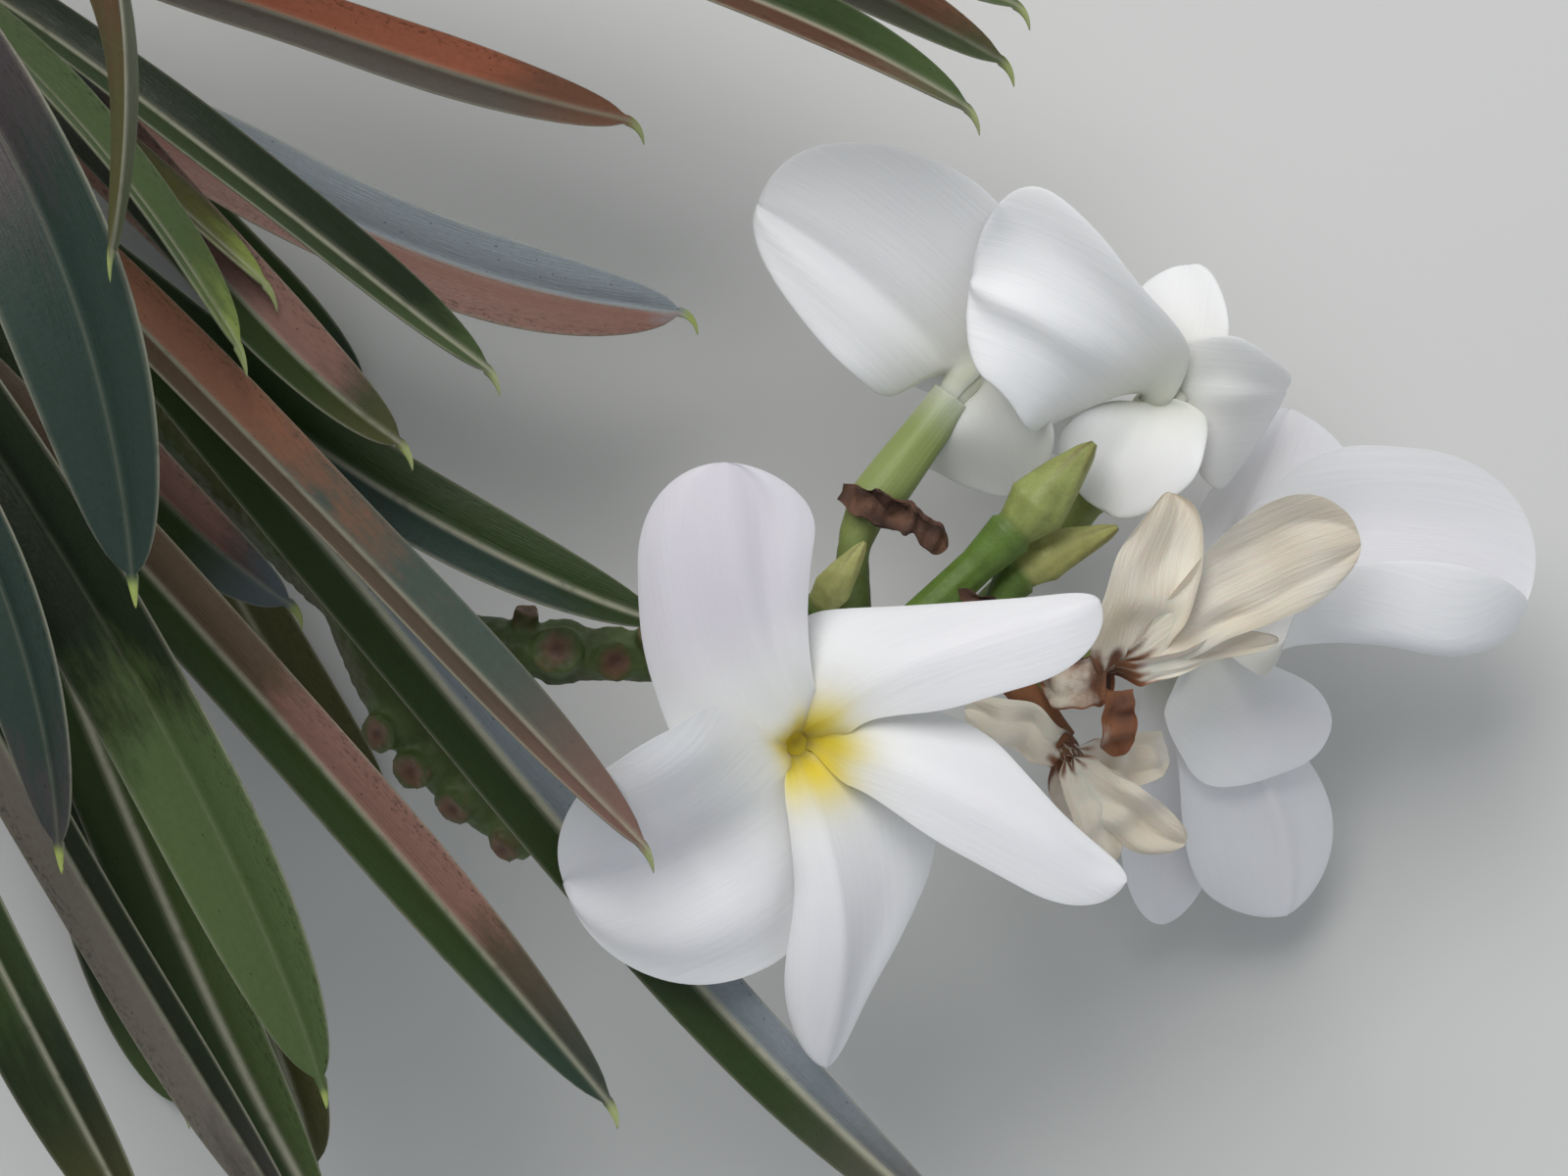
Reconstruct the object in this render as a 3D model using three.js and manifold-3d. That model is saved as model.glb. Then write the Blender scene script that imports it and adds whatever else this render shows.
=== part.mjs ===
// A cut flowering branch tip of a Madagascar palm, lying on a level surface.
//
// Millimetres, +Z up. The stem lies to the left with its flat cut towards -Y, its strap leaves
// arch out of it on every side, and a stout flower stalk leaves its tip and bends to the right,
// where it forks and carries open blooms, buds and spent flowers. All places below are given
// from a working point under the middle of the flower head; the whole group is moved at the end
// so that the origin is the middle of the footprint, on the surface that the branch lies on.
import * as THREE from 'three';
import { mergeVertices } from 'three/addons/utils/BufferGeometryUtils.js';
import Module from 'manifold-3d';

const wasm = await Module();
wasm.setup();

const V = (x, y, z) => new THREE.Vector3(x, y, z);
const rad = THREE.MathUtils.degToRad;
const clamp = THREE.MathUtils.clamp;
const smoothstep = THREE.MathUtils.smoothstep;

// Clearance that touching solids keep.
const GAP = 0.3;

// The stem: a fat succulent shoot, cut flat at its foot and rounded at its tip.
const STEM = {
  cut: V(-200, -8, 23.62),
  tip: V(-178, 122, 50),
  cutRadius: 24,
  waistRadius: 21,
  shoulderRadius: 19,
  tipFlatRadius: 8.5,
  stations: 10,
  sides: 24,
};

// A leaf: a folded strap with a thick midrib under it, a short stalk and a hooked point.
const LEAF = {
  edge: 0.7,
  ribShare: 0.0115,
  stalkHalf: 2.4,
  seatDepth: 2,
  stalkFold: 38,
  bladeFold: 20,
  hook: 5.5,
  hookHalf: 0.9,
  hookPull: V(0.06, -0.7, -0.2),
  stations: 10,
};

// The leaves that sweep right and down beside the flowers. seat is how far below the stem's tip
// a leaf springs, turn the angle round the stem (0 right, 90 up, 180 left), spread the angle off
// the stem at which it starts, tip where its hook ends, heading and dip the way it points there,
// early and late how much of its reach it holds those two ways for, lean how far the blade's
// face rolls from looking up, and half is half its greatest width.
const FRONT_LEAVES = [
  { seat: 14, turn: 14, spread: 62, tip: [-24, 76, 60], heading: -12, dip: 8, early: 0.36, late: 0.42, lean: -18, half: 6 },
  { seat: 24, turn: -5, spread: 80, tip: [-15, 44, 50], heading: -3, dip: 8, early: 0.33, late: 0.41, lean: 4, half: 8 },
  { seat: 10, turn: 70, spread: 62, tip: [-46, 31, 100], heading: -38, dip: 15, early: 0.39, late: 0.44, lean: -48, half: 6.6 },
  { seat: 18, turn: 84, spread: 67, tip: [-21, -46, 103], heading: -47, dip: 10, early: 0.37, late: 0.42, lean: -50, half: 7.4 },
  { seat: 42, turn: 52, spread: 59, tip: [32, -115, 60], heading: -39, dip: 12, early: 0.31, late: 0.36, lean: 8, half: 7 },
  { seat: 44, turn: 79, spread: 74, tip: [-27, -88, 98], heading: -51, dip: 5, early: 0.31, late: 0.41, lean: -12, half: 6.6 },
  { seat: 30, turn: 90, spread: 71, tip: [-72, -82, 120], heading: -73, dip: 13, early: 0.35, late: 0.44, lean: 12, half: 9.4 },
  { seat: 27, turn: 104, spread: 46, tip: [-96, -3, 160], heading: -87, dip: 16, early: 0.5, late: 0.62, lean: 10, half: 11.4 },
  { seat: 50, turn: 101, spread: 68, tip: [-111, -44, 136], heading: -88, dip: 16, early: 0.35, late: 0.55, lean: 20, half: 8 },
  { seat: 8, turn: 117, spread: 52, tip: [-97, 44, 178], heading: -107, dip: 23, early: 0.34, late: 0.62, lean: 64, half: 7 },
  { seat: 5, turn: 72, spread: 46, tip: [32, 74, 94], heading: -33, dip: 13, early: 0.21, late: 0.31, lean: -40, half: 6.4 },
  { seat: 4, turn: -10, spread: 35, tip: [39, 85, 68], heading: -28, dip: 15, early: 0.32, late: 0.4, lean: -20, half: 6.6 },
  { seat: 3, turn: 100, spread: 36, tip: [41, 93, 80], heading: -20, dip: 12, early: 0.28, late: 0.42, lean: -30, half: 6 },
  { seat: 28, turn: 40, spread: 60, tip: [-60, 19, 102], heading: -36, dip: 16, early: 0.5, late: 0.38, lean: -30, half: 7 },
  { seat: 6, turn: 90, spread: 57, tip: [-84, 33, 124], heading: -62, dip: 9, early: 0.36, late: 0.43, lean: -64, half: 6.6 },
  { seat: 12, turn: 93, spread: 58, tip: [-81, 44, 109], heading: -44, dip: 15, early: 0.39, late: 0.46, lean: -66, half: 6 },
  { seat: 34, turn: 38, spread: 73, tip: [-18, -10, 82], heading: -19, dip: 0, early: 0.23, late: 0.46, lean: -24, half: 7.4 },
  { seat: 48, turn: 26, spread: 75, tip: [-81, -7, 74], heading: -34, dip: 9, early: 0.35, late: 0.45, lean: 14, half: 7.4 },
  { seat: 66, turn: 84, spread: 75, tip: [-102, -112, 98], heading: -64, dip: 13, early: 0.38, late: 0.43, lean: 24, half: 8.6 },
  { seat: 62, turn: 80, spread: 68, tip: [-76, -112, 96], heading: -58, dip: 11, early: 0.37, late: 0.41, lean: 26, half: 6.4 },
  { seat: 54, turn: 50, spread: 76, tip: [-74, -110, 88], heading: -62, dip: 12, early: 0.31, late: 0.45, lean: 2, half: 7.4 },
  { seat: 60, turn: 50, spread: 80, tip: [-78, -101, 78], heading: -81, dip: 24, early: 0.2, late: 0.27, lean: -16, half: 7.4 },
];

// The leaves on the far side, and the resting ones that are pressed down on the surface.
const REAR_LEAVES = [
  { seat: 16, turn: 142, spread: 60, tip: [-352, 70, 112], heading: 205, dip: 22, lean: 6, half: 8 },
  { seat: 34, turn: 130, spread: 68, tip: [-318, -38, 128], heading: 236, dip: 18, lean: -8, half: 8.6 },
  { seat: 52, turn: 136, spread: 72, tip: [-262, -96, 104], heading: 252, dip: 16, lean: 10, half: 7.6 },
  { seat: 26, turn: 162, spread: 66, tip: [-366, 8, 72], heading: 215, dip: 12, lean: 4, half: 8.4 },
  { seat: 46, turn: 164, spread: 70, tip: [-330, -72, 62], heading: 230, dip: 12, lean: -12, half: 7.4 },
  { seat: 64, turn: 158, spread: 74, tip: [-280, -118, 56], heading: 246, dip: 12, lean: 8, half: 8 },
  { seat: 9, turn: 168, spread: 52, tip: [-348, 132, 80], heading: 190, dip: 20, lean: -6, half: 8 },
  { seat: 6, turn: 146, spread: 44, tip: [-306, 176, 118], heading: 175, dip: 22, lean: 10, half: 7 },
  { seat: 4, turn: 206, spread: 34, tip: [-262, 214, 84], heading: 130, dip: 16, lean: 8, half: 7.4 },
  { seat: 4, turn: 270, spread: 30, tip: [-196, 232, 50], heading: 100, dip: 14, lean: -8, half: 7 },
  { seat: 20, turn: 192, spread: 66, tip: [-374, 62, 2], heading: 205, dip: 3, lean: 0, half: 8.4, resting: true },
  { seat: 40, turn: 202, spread: 70, tip: [-352, -30, 2], heading: 222, dip: 3, lean: 4, half: 8, resting: true },
  { seat: 60, turn: 208, spread: 74, tip: [-300, -98, 2], heading: 240, dip: 3, lean: -4, half: 8.2, resting: true },
  { seat: 12, turn: 212, spread: 50, tip: [-344, 150, 2], heading: 172, dip: 3, lean: 2, half: 7.6, resting: true },
  { seat: 14, turn: 246, spread: 40, tip: [-282, 214, 2], heading: 130, dip: 3, lean: -2, half: 8, resting: true },
  { seat: 14, turn: 300, spread: 40, tip: [-128, 226, 2], heading: 70, dip: 3, lean: 2, half: 7.6, resting: true },
  { seat: 30, turn: 334, spread: 68, tip: [-76, 32, 2], heading: -40, dip: 3, lean: 2, half: 8, resting: true },
  { seat: 48, turn: 326, spread: 74, tip: [-72, -44, 2], heading: -45, dip: 3, lean: -4, half: 7.8, resting: true },
  { seat: 64, turn: 318, spread: 78, tip: [-110, -100, 2], heading: -62, dip: 3, lean: 3, half: 8.2, resting: true },
];

// The flower stalk: from the stem's tip it bends over to a fork. One arm ends bare, where its
// flowers have dropped; the other carries all that is in bloom. Each run ends in its half widths.
const STALK_RUNS = [
  { through: [[-171, 137, 58], [-158, 133, 66], [-134, 84, 66], [-104, 30, 64], [-74, -2, 64]], radii: [6.4, 5.2] },
  { through: [[-74, -2, 64], [-65.5, -22, 60], [-56, -34, 58], [-43, -45, 56]], radii: [5.2, 3.2] },
  { through: [[-74, -2, 64], [-58, -8, 65], [-40, -11, 65], [-7, -11, 65], [12, -8, 63], [48, -17, 60]], radii: [5.2, 3] },
];

// The low knobs that dropped flowers leave on the stalk: root, end and radius.
const STUBS = [
  [[-66.5, -23, 60], [-69.5, -25, 64], 3.4],
  [[-61, -29, 59], [-64, -31.5, 63.5], 3.4],
  [[-54, -35, 58], [-57, -38, 61.5], 3.2],
  [[-46, -42, 56], [-48.5, -45, 59.5], 2.8],
  [[-45, -10, 65], [-43.5, -3.5, 68], 2.2],
  [[-38, -11, 65], [-38.5, -10.5, 71], 4],
  [[-29, -11, 65], [-28.5, -12.5, 70], 3.4],
  [[-23, -11, 65], [-22, -7.5, 69.5], 3],
];

// An open bloom: root is where its pedicel leaves the stalk, base where its tube begins, throat
// where its five lobes part. Each lobe is drawn over two guide points to its tip; left and right
// say how far its flesh reaches to either side near its foot, at its middle and near its end, or
// half does so for both. curl is the angle that each margin turns through, turning the shares of
// the reach between which it does so, roll lifts its right edge, and round says where along it
// the end starts to round off.
const BLOOM = { thick: 1.1, claw: 5.4, wide: 0.42, calyx: 4.6, tube: 3.8, flare: 5.8, stations: 6 };
const EVEN_TURNING = [[0, 1], [0, 1]];
const BLOOMS = [
  {
    root: [-7, -11, 65],
    base: [-4, -23.5, 72],
    throat: [4, -26.5, 90],
    lobes: [
      {
        path: [[-5, -15, 95], [-10, 0, 99], [-9.5, 20.5, 97]],
        left: [18, 18, 15],
        right: [7, 11, 15.5],
        face: [0.1, 0, 1],
        curl: [-0.35, -0.5],
        roll: 12,
        round: 0.74,
      },
      {
        path: [[-6, -36, 94], [-15, -46, 95], [-36.5, -48.5, 86]],
        left: [15, 26.5, 28],
        right: [19.5, 23.5, 23.5],
        curl: [0.25, 0.25],
        roll: 7,
        round: 0.42,
      },
      {
        path: [[8, -42, 95], [14, -56, 93], [7, -80, 80]],
        left: [22, 20, 5.5],
        right: [6, 9, 13],
        curl: [-0.3, -1.5],
        turning: [[0, 1], [0.2, 1]],
        roll: 6,
        round: 0.6,
      },
      {
        path: [[18, -25, 96], [36, -38, 98], [56, -48, 94]],
        left: [10, 12.5, 4],
        right: [5.5, 9, 9],
        curl: [-0.5, -0.5],
        roll: 9,
        round: 0.78,
      },
      {
        path: [[11, -12, 96], [32, -10, 99], [51.5, -2, 96]],
        left: [17.5, 11, 5],
        right: [4, 9, 9.5],
        face: [0.05, 0.15, 1],
        curl: [-0.5, -0.5],
        roll: 12,
        round: 0.74,
      },
    ],
  },
  {
    root: [12, -8, 60],
    base: [15.6, 15, 60],
    throat: [32.4, 37, 60],
    lobes: [
      {
        path: [[27, 42, 68], [13, 56, 71], [-4.5, 65.5, 65]],
        left: [22, 27, 24],
        right: [14, 14.5, 13],
        face: [0.2, 0.2, -0.96],
        curl: [-0.5, -0.45],
        roll: 0,
        round: 0.5,
      },
      {
        path: [[36, 31, 67], [38, 24, 61], [40, 16, 54]],
        left: [11, 17, 16],
        right: [7, 11, 8],
        face: [0.4, -0.1, -0.9],
        curl: [-0.4, -0.4],
        roll: 0,
        round: 0.5,
      },
      { path: [[36, 44, 50], [41, 47, 43], [42, 49, 30]], half: 10, curl: [0.3, 0.3], roll: 10, round: 0.55 },
      { path: [[30, 37, 48], [25, 36, 38], [24, 37, 24]], half: 9, curl: [0.3, 0.3], roll: 10, round: 0.55 },
      { path: [[40, 34, 50], [46, 32, 38], [50, 24, 24]], half: 13, curl: [0.3, 0.3], roll: 10, round: 0.55 },
    ],
  },
  {
    root: [28, -11, 57],
    base: [55, 19, 54],
    throat: [66, 34, 60],
    lobes: [
      {
        path: [[58, 40, 74], [48, 48, 82], [31.5, 52, 75]],
        left: [9.5, 11, 19],
        right: [19, 20.5, 15.5],
        face: [0.3, 0.12, -0.95],
        curl: [-0.35, -0.4],
        roll: 0,
        round: 0.82,
      },
      {
        path: [[67, 39, 65], [69, 47, 63], [69.5, 55.5, 58]],
        left: [6.5, 9, 7],
        right: [6, 8, 10],
        face: [0.3, 0.3, -0.9],
        curl: [-0.4, -0.4],
        roll: 0,
        round: 0.55,
      },
      {
        path: [[70, 34, 66], [77, 33, 65], [86.5, 34.5, 56]],
        left: [14, 17, 19.5],
        right: [8.5, 12, 8],
        face: [0.45, 0.35, -0.8],
        curl: [-0.4, -0.4],
        roll: 0,
        round: 0.5,
      },
      {
        path: [[63, 28, 66], [59, 22, 66], [55, 13, 60]],
        left: [8, 11.5, 16],
        right: [9.5, 12.5, 10],
        face: [0.4, 0.1, -0.9],
        curl: [-0.4, -0.4],
        roll: 0,
        round: 0.45,
      },
      { path: [[70, 39, 52], [73, 41, 43], [73, 42, 31]], half: 9.6, curl: [0.3, 0.3], roll: 10, round: 0.55 },
    ],
  },
  {
    root: [38, -14, 56],
    base: [61, -10, 47],
    throat: [72, -8.5, 43],
    lobes: [
      {
        path: [[75, 2, 46], [84, 15, 47], [89, 31.5, 42]],
        left: [6, 9, 7],
        right: [13.5, 20, 23],
        face: [0.2, 0, 0.95],
        curl: [0.3, -0.3],
        roll: 6,
        round: 0.55,
      },
      {
        path: [[84, 0, 45], [106, 7, 46], [130.5, -4, 38]],
        left: [10, 24, 22.5],
        right: [15.5, 26, 33],
        face: [0.1, 0, 0.98],
        curl: [0.25, 2.8],
        turning: [[0, 1], [0.3, 0.54]],
        roll: 0,
        round: 0.7,
      },
      {
        path: [[77, -16, 42], [87, -22, 38], [97.5, -25.5, 30]],
        left: [5, 6, 8],
        right: [14, 19, 12],
        face: [0.3, 0, 0.95],
        curl: [0.4, -0.3],
        roll: 6,
        round: 0.5,
      },
      {
        path: [[78, -25, 38], [89, -38, 30], [91, -59.5, 17]],
        left: [6, 10.5, 18],
        right: [9, 15, 19],
        face: [0.2, 0.2, 0.95],
        curl: [-0.4, -0.4],
        roll: 4,
        round: 0.55,
      },
      {
        path: [[69, -24, 35], [67, -44, 26], [70, -61, 14]],
        left: [6, 8.5, 11],
        right: [6, 9, 8.5],
        face: [0, 0.2, 0.95],
        curl: [-0.3, 0.3],
        roll: 6,
        round: 0.6,
      },
    ],
  },
];

// Spent flowers, limp and papery: the same parts as a bloom, shrunken, straight off the stalk.
const SPENT = [
  {
    base: [46.5, -16.6, 60.5],
    throat: [57, -15.5, 68],
    lobes: [
      {
        path: [[58, -7, 74], [61, 3, 77], [65, 16, 72]],
        left: [6.5, 7.5, 4.5],
        right: [7, 11.5, 11],
        face: [0.3, -0.2, 0.9],
        curl: [0.5, 1.7],
        turning: [[0, 1], [0.45, 0.8]],
        roll: 0,
        round: 0.74,
      },
      {
        path: [[65, -8, 74], [78, 2, 76], [98, 7.5, 66]],
        left: [2.5, 8.5, 14.5],
        right: [4, 6.5, 8],
        face: [0, -0.1, 0.98],
        curl: [0.35, -0.4],
        roll: 0,
        round: 0.66,
      },
      {
        path: [[63, -14, 72], [72, -11, 72], [84, -9, 66]],
        left: [2.5, 3.5, 4],
        right: [2, 1.5, 1.5],
        face: [0, -0.3, 0.9],
        curl: [0.8, 0.6],
        roll: 0,
        round: 0.6,
      },
      {
        path: [[57, -19, 71], [56, -24, 69], [57, -28.5, 66]],
        left: [2.5, 3.5, 4],
        right: [2, 3, 4],
        face: [0, 0, 1],
        curl: [0.9, 0.9],
        roll: 0,
        round: 0.5,
      },
      {
        path: [[52, -15, 72], [47, -15, 71], [43.5, -16.5, 66]],
        left: [5, 5, 5.5],
        right: [3.5, 4, 4],
        face: [-0.1, 0, 0.98],
        curl: [0.5, 0.5],
        roll: 0,
        round: 0.5,
      },
    ],
  },
  {
    base: [40, -16, 61.5],
    throat: [49.5, -29, 60.5],
    lobes: [
      {
        path: [[53, -33, 66], [60, -39, 68], [69, -44, 60]],
        left: [2.5, 4, 5],
        right: [4, 6, 7.5],
        face: [0, 0, 1],
        curl: [0.9, -0.9],
        roll: 0,
        round: 0.6,
      },
      {
        path: [[50, -35, 66], [53, -42, 65], [54.5, -49, 58]],
        left: [3.5, 5.5, 7],
        right: [2.5, 3.5, 4.5],
        face: [0, 0, 1],
        curl: [-0.9, 0.9],
        roll: 0,
        round: 0.6,
      },
      {
        path: [[45, -26, 66], [39, -22, 65], [31, -21, 60]],
        left: [4, 4.5, 5],
        right: [3, 4, 4.5],
        face: [0, 0, 1],
        curl: [0.5, 0.4],
        roll: 0,
        round: 0.55,
      },
      {
        path: [[56, -31, 64], [61, -30, 62], [67, -29, 52]],
        left: [3.5, 5, 6],
        right: [3.5, 4, 4],
        face: [0.2, 0, 0.95],
        curl: [0.5, 0.5],
        roll: 0,
        round: 0.6,
      },
      {
        path: [[49, -34, 55], [51, -39, 49], [53.5, -44.5, 43]],
        left: [4, 6, 7],
        right: [4.5, 5.5, 6],
        face: [0.3, 0, 0.9],
        curl: [0.6, 0.6],
        roll: 0,
        round: 0.6,
      },
    ],
  },
];

// Buds: root on the stalk, collar where the pedicel ends, tip, and the bud's greatest radius.
const BUDS = [
  { root: [19, -9, 65], collar: [38.5, 9.5, 69], tip: [52.5, 24.5, 70], radius: 5.4, pedicel: 3.4 },
  { root: [33, -12, 62], collar: [40, 2, 62], tip: [57, 10.4, 63], radius: 4.2, pedicel: 3 },
  { root: [0, -10.5, 65], collar: [6, -3, 74], tip: [13.5, 7.6, 79], radius: 3.2, pedicel: 2.4 },
];

// Dried bracts: a place on the stalk, two guide points, the tip, and half the width.
const BRACTS = [
  { root: [9.5, 16.5, 64], path: [[14, 15, 67], [20, 12, 67], [28, 7, 64]], half: 3.4 },
  { root: [29.5, -1, 72], path: [[32, -1, 74], [35, -3, 74], [37.5, -6.5, 71]], half: 2.2 },
];

const UP = V(0, 0, 1);
const STEM_AXIS = STEM.tip.clone().sub(STEM.cut).normalize();
const STEM_RIGHT = new THREE.Vector3().crossVectors(STEM_AXIS, UP).normalize();
const STEM_TOP = new THREE.Vector3().crossVectors(STEM_RIGHT, STEM_AXIS);
const STEM_LENGTH = STEM.tip.distanceTo(STEM.cut);

// Solid geometry from closed rings of points, each counted anticlockwise seen from the far end.
function loft(rings) {
  const count = rings[0].length;
  const points = rings.flat();
  const faces = [];
  for (let i = 0; i + 1 < rings.length; i++) {
    for (let j = 0; j < count; j++) {
      const a = i * count + j;
      const b = i * count + ((j + 1) % count);
      faces.push(a, b, b + count, a, b + count, a + count);
    }
  }
  const last = (rings.length - 1) * count;
  const middleOf = (ring) => ring.reduce((sum, p) => sum.add(p), V(0, 0, 0)).divideScalar(count);
  points.push(middleOf(rings[0]), middleOf(rings[rings.length - 1]));
  for (let j = 0; j < count; j++) {
    const k = (j + 1) % count;
    faces.push(points.length - 2, k, j, points.length - 1, last + j, last + k);
  }
  const geometry = new THREE.BufferGeometry().setFromPoints(points);
  geometry.setIndex(faces);
  return geometry;
}

function toManifold(geometry) {
  const bare = geometry.clone();
  bare.deleteAttribute('normal');
  bare.deleteAttribute('uv');
  const merged = mergeVertices(bare, 1e-4);
  return new wasm.Manifold(
    new wasm.Mesh({
      numProp: 3,
      vertProperties: merged.attributes.position.array,
      triVerts: new Uint32Array(merged.index.array),
    }),
  );
}

function fromManifold(solid) {
  const mesh = solid.simplify(0.05).getMesh();
  const geometry = new THREE.BufferGeometry();
  geometry.setAttribute('position', new THREE.BufferAttribute(mesh.vertProperties, 3));
  geometry.setIndex(new THREE.BufferAttribute(mesh.triVerts, 1));
  return geometry;
}

// One solid of several that run into each other.
function fuse(geometries) {
  return fromManifold(geometries.map(toManifold).reduce((sum, next) => sum.add(next)));
}

// A round limb along a curve; radiusAt gives its radius from 0 at the start to 1 at the end.
function limb(curve, radiusAt, stations, sides) {
  const start = curve.getTangentAt(0);
  let across = new THREE.Vector3().crossVectors(Math.abs(start.z) < 0.9 ? UP : V(1, 0, 0), start);
  const rings = [];
  for (let i = 0; i <= stations; i++) {
    const t = i / stations;
    const along = curve.getTangentAt(t);
    across = across.sub(along.clone().multiplyScalar(across.dot(along))).normalize();
    const over = new THREE.Vector3().crossVectors(along, across);
    const middle = curve.getPointAt(t);
    rings.push(
      Array.from({ length: sides }, (_, j) => {
        const angle = (2 * Math.PI * j) / sides;
        return middle
          .clone()
          .addScaledVector(across, radiusAt(t) * Math.cos(angle))
          .addScaledVector(over, radiusAt(t) * Math.sin(angle));
      }),
    );
  }
  return loft(rings);
}

// Radius that runs straight between [place, radius] pairs.
function profile(pairs) {
  return (t) => {
    const next = Math.max(1, pairs.findIndex(([place]) => place >= t));
    const [t0, r0] = pairs[next - 1];
    const [t1, r1] = pairs[next];
    return r0 + ((r1 - r0) * (t - t0)) / (t1 - t0);
  };
}

function node(name, geometry, material) {
  const mesh = new THREE.Mesh(geometry, material);
  mesh.name = name;
  return mesh;
}

const finish = (color, roughness) => new THREE.MeshStandardMaterial({ color, roughness, metalness: 0 });
const MATERIALS = {
  bark: finish(0x7d7a66, 0.8),
  leaf: finish(0x39512f, 0.45),
  stalk: finish(0x5c7a2e, 0.6),
  petal: finish(0xf2f3f6, 0.55),
  calyx: finish(0x94a352, 0.6),
  spent: finish(0xcbb998, 0.8),
  bract: finish(0x4a2f26, 0.85),
};

const branch = new THREE.Group();

// The place on the stem's side where a leaf springs, with the outward and the starting direction.
function leafSeat({ seat, turn, spread }) {
  const share = 1 - seat / STEM_LENGTH;
  const outward = STEM_RIGHT.clone()
    .multiplyScalar(Math.cos(rad(turn)))
    .addScaledVector(STEM_TOP, Math.sin(rad(turn)));
  const start = outward
    .clone()
    .multiplyScalar(Math.sin(rad(spread)))
    .addScaledVector(STEM_AXIS, Math.cos(rad(spread)));
  const place = STEM.cut
    .clone()
    .lerp(STEM.tip, share)
    .addScaledVector(outward, stemRadius(share) - LEAF.seatDepth);
  return { place, start };
}

function stemRadius(share) {
  return profile([
    [0, STEM.cutRadius],
    [0.45, STEM.waistRadius],
    [0.86, STEM.shoulderRadius],
    [0.95, STEM.shoulderRadius * 0.8],
    [1, STEM.tipFlatRadius],
  ])(share);
}

// Half the space between neighbours is left by growing what a solid is cut by.
const stemLine = new THREE.LineCurve3(STEM.cut, STEM.tip);
const stemGrown = toManifold(limb(stemLine, (t) => stemRadius(t) + GAP, STEM.stations, STEM.sides));

// What is left of a solid outside another, without its crumbs.
function clearOf(geometry, grown) {
  const pieces = toManifold(geometry).subtract(grown).decompose();
  return fromManifold(pieces.sort((p, q) => q.volume() - p.volume())[0]);
}

// A leaf's half width: stalk, long taper out, full width, then a quick rounded taper to the tip.
function leafHalf(t, half) {
  const out = LEAF.stalkHalf + (half - LEAF.stalkHalf) * smoothstep(t, 0.05, 0.55);
  const tip = t < 0.8 ? 1 : Math.sqrt(Math.max(0, 1 - ((t - 0.8) / 0.2) ** 2));
  return Math.max(out * tip, LEAF.hookHalf);
}

function leafGeometry(leaf) {
  const { place, start } = leafSeat(leaf);
  const arrive = V(
    Math.cos(rad(leaf.heading)) * Math.cos(rad(leaf.dip)),
    Math.sin(rad(leaf.heading)) * Math.cos(rad(leaf.dip)),
    -Math.sin(rad(leaf.dip)),
  );
  const hookWay = arrive.clone().multiplyScalar(0.6).add(LEAF.hookPull).normalize();
  const end = V(...leaf.tip).addScaledVector(hookWay, -LEAF.hook);
  const length = place.distanceTo(end);
  const curve = new THREE.CubicBezierCurve3(
    place,
    place.clone().addScaledVector(start, length * (leaf.early ?? 0.36)),
    end.clone().addScaledVector(arrive, -length * (leaf.late ?? 0.42)),
    end,
  );
  const rib = curve.getLength() * LEAF.ribShare;
  const tipAcross = new THREE.Vector3().crossVectors(UP, arrive).normalize();
  const tipFace = new THREE.Vector3()
    .crossVectors(arrive, tipAcross)
    .applyAxisAngle(arrive, rad(leaf.lean));
  const rings = [];
  const ring = (middle, along, face, half, fold, thick) => {
    const across = new THREE.Vector3().crossVectors(face, along).normalize();
    const over = new THREE.Vector3().crossVectors(along, across);
    const at = (side, rise) =>
      middle.clone().addScaledVector(across, side).addScaledVector(over, rise);
    const reach = half * Math.cos(fold);
    const rise = half * Math.sin(fold);
    const edge = Math.min(LEAF.edge, half * 0.5);
    rings.push([
      at(reach, rise),
      at(0, 0),
      at(-reach, rise),
      at(-reach, rise - edge),
      at(0, -thick),
      at(reach, rise - edge),
    ]);
  };
  for (let i = 0; i <= LEAF.stations; i++) {
    const t = 1 - (1 - i / LEAF.stations) ** 1.35;
    const along = curve.getTangent(t);
    const face = STEM_AXIS.clone().lerp(tipFace, smoothstep(t, 0, 0.6));
    const fold = THREE.MathUtils.lerp(rad(LEAF.stalkFold), rad(LEAF.bladeFold), smoothstep(t, 0, 0.4));
    ring(curve.getPoint(t), along, face, leafHalf(t, leaf.half), fold, rib * (1 - 0.55 * t * t));
  }
  [0.4, 1].forEach((share) => {
    const way = arrive.clone().lerp(hookWay, share).normalize();
    const middle = end.clone().addScaledVector(way, LEAF.hook * share);
    ring(middle, way, tipFace, LEAF.hookHalf * (1.1 - 0.75 * share), 0.1, 0.8 - 0.5 * share);
  });
  const geometry = loft(rings);
  geometry.computeBoundingBox();
  return leaf.resting ? geometry.translate(0, 0, -geometry.boundingBox.min.z) : geometry;
}

// How far a lobe reaches to one side of its middle line, measured along its flesh.
function lobeReach(t, { half, left, right, round }, side, claw) {
  const even = claw + (half - claw) * smoothstep(t, 0, BLOOM.wide);
  const [foot, middle, end] = (side > 0 ? left : right) ?? [];
  const listed = profile([[0, claw], [0.2, foot], [0.5, middle], [0.85, end], [1, end]])(t);
  const closing = t < round ? 1 : Math.sqrt(Math.max(0, 1 - ((t - round) / (1 - round)) ** 2.3));
  return (left ? listed : even) * Math.max(closing, 0.2);
}

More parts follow.
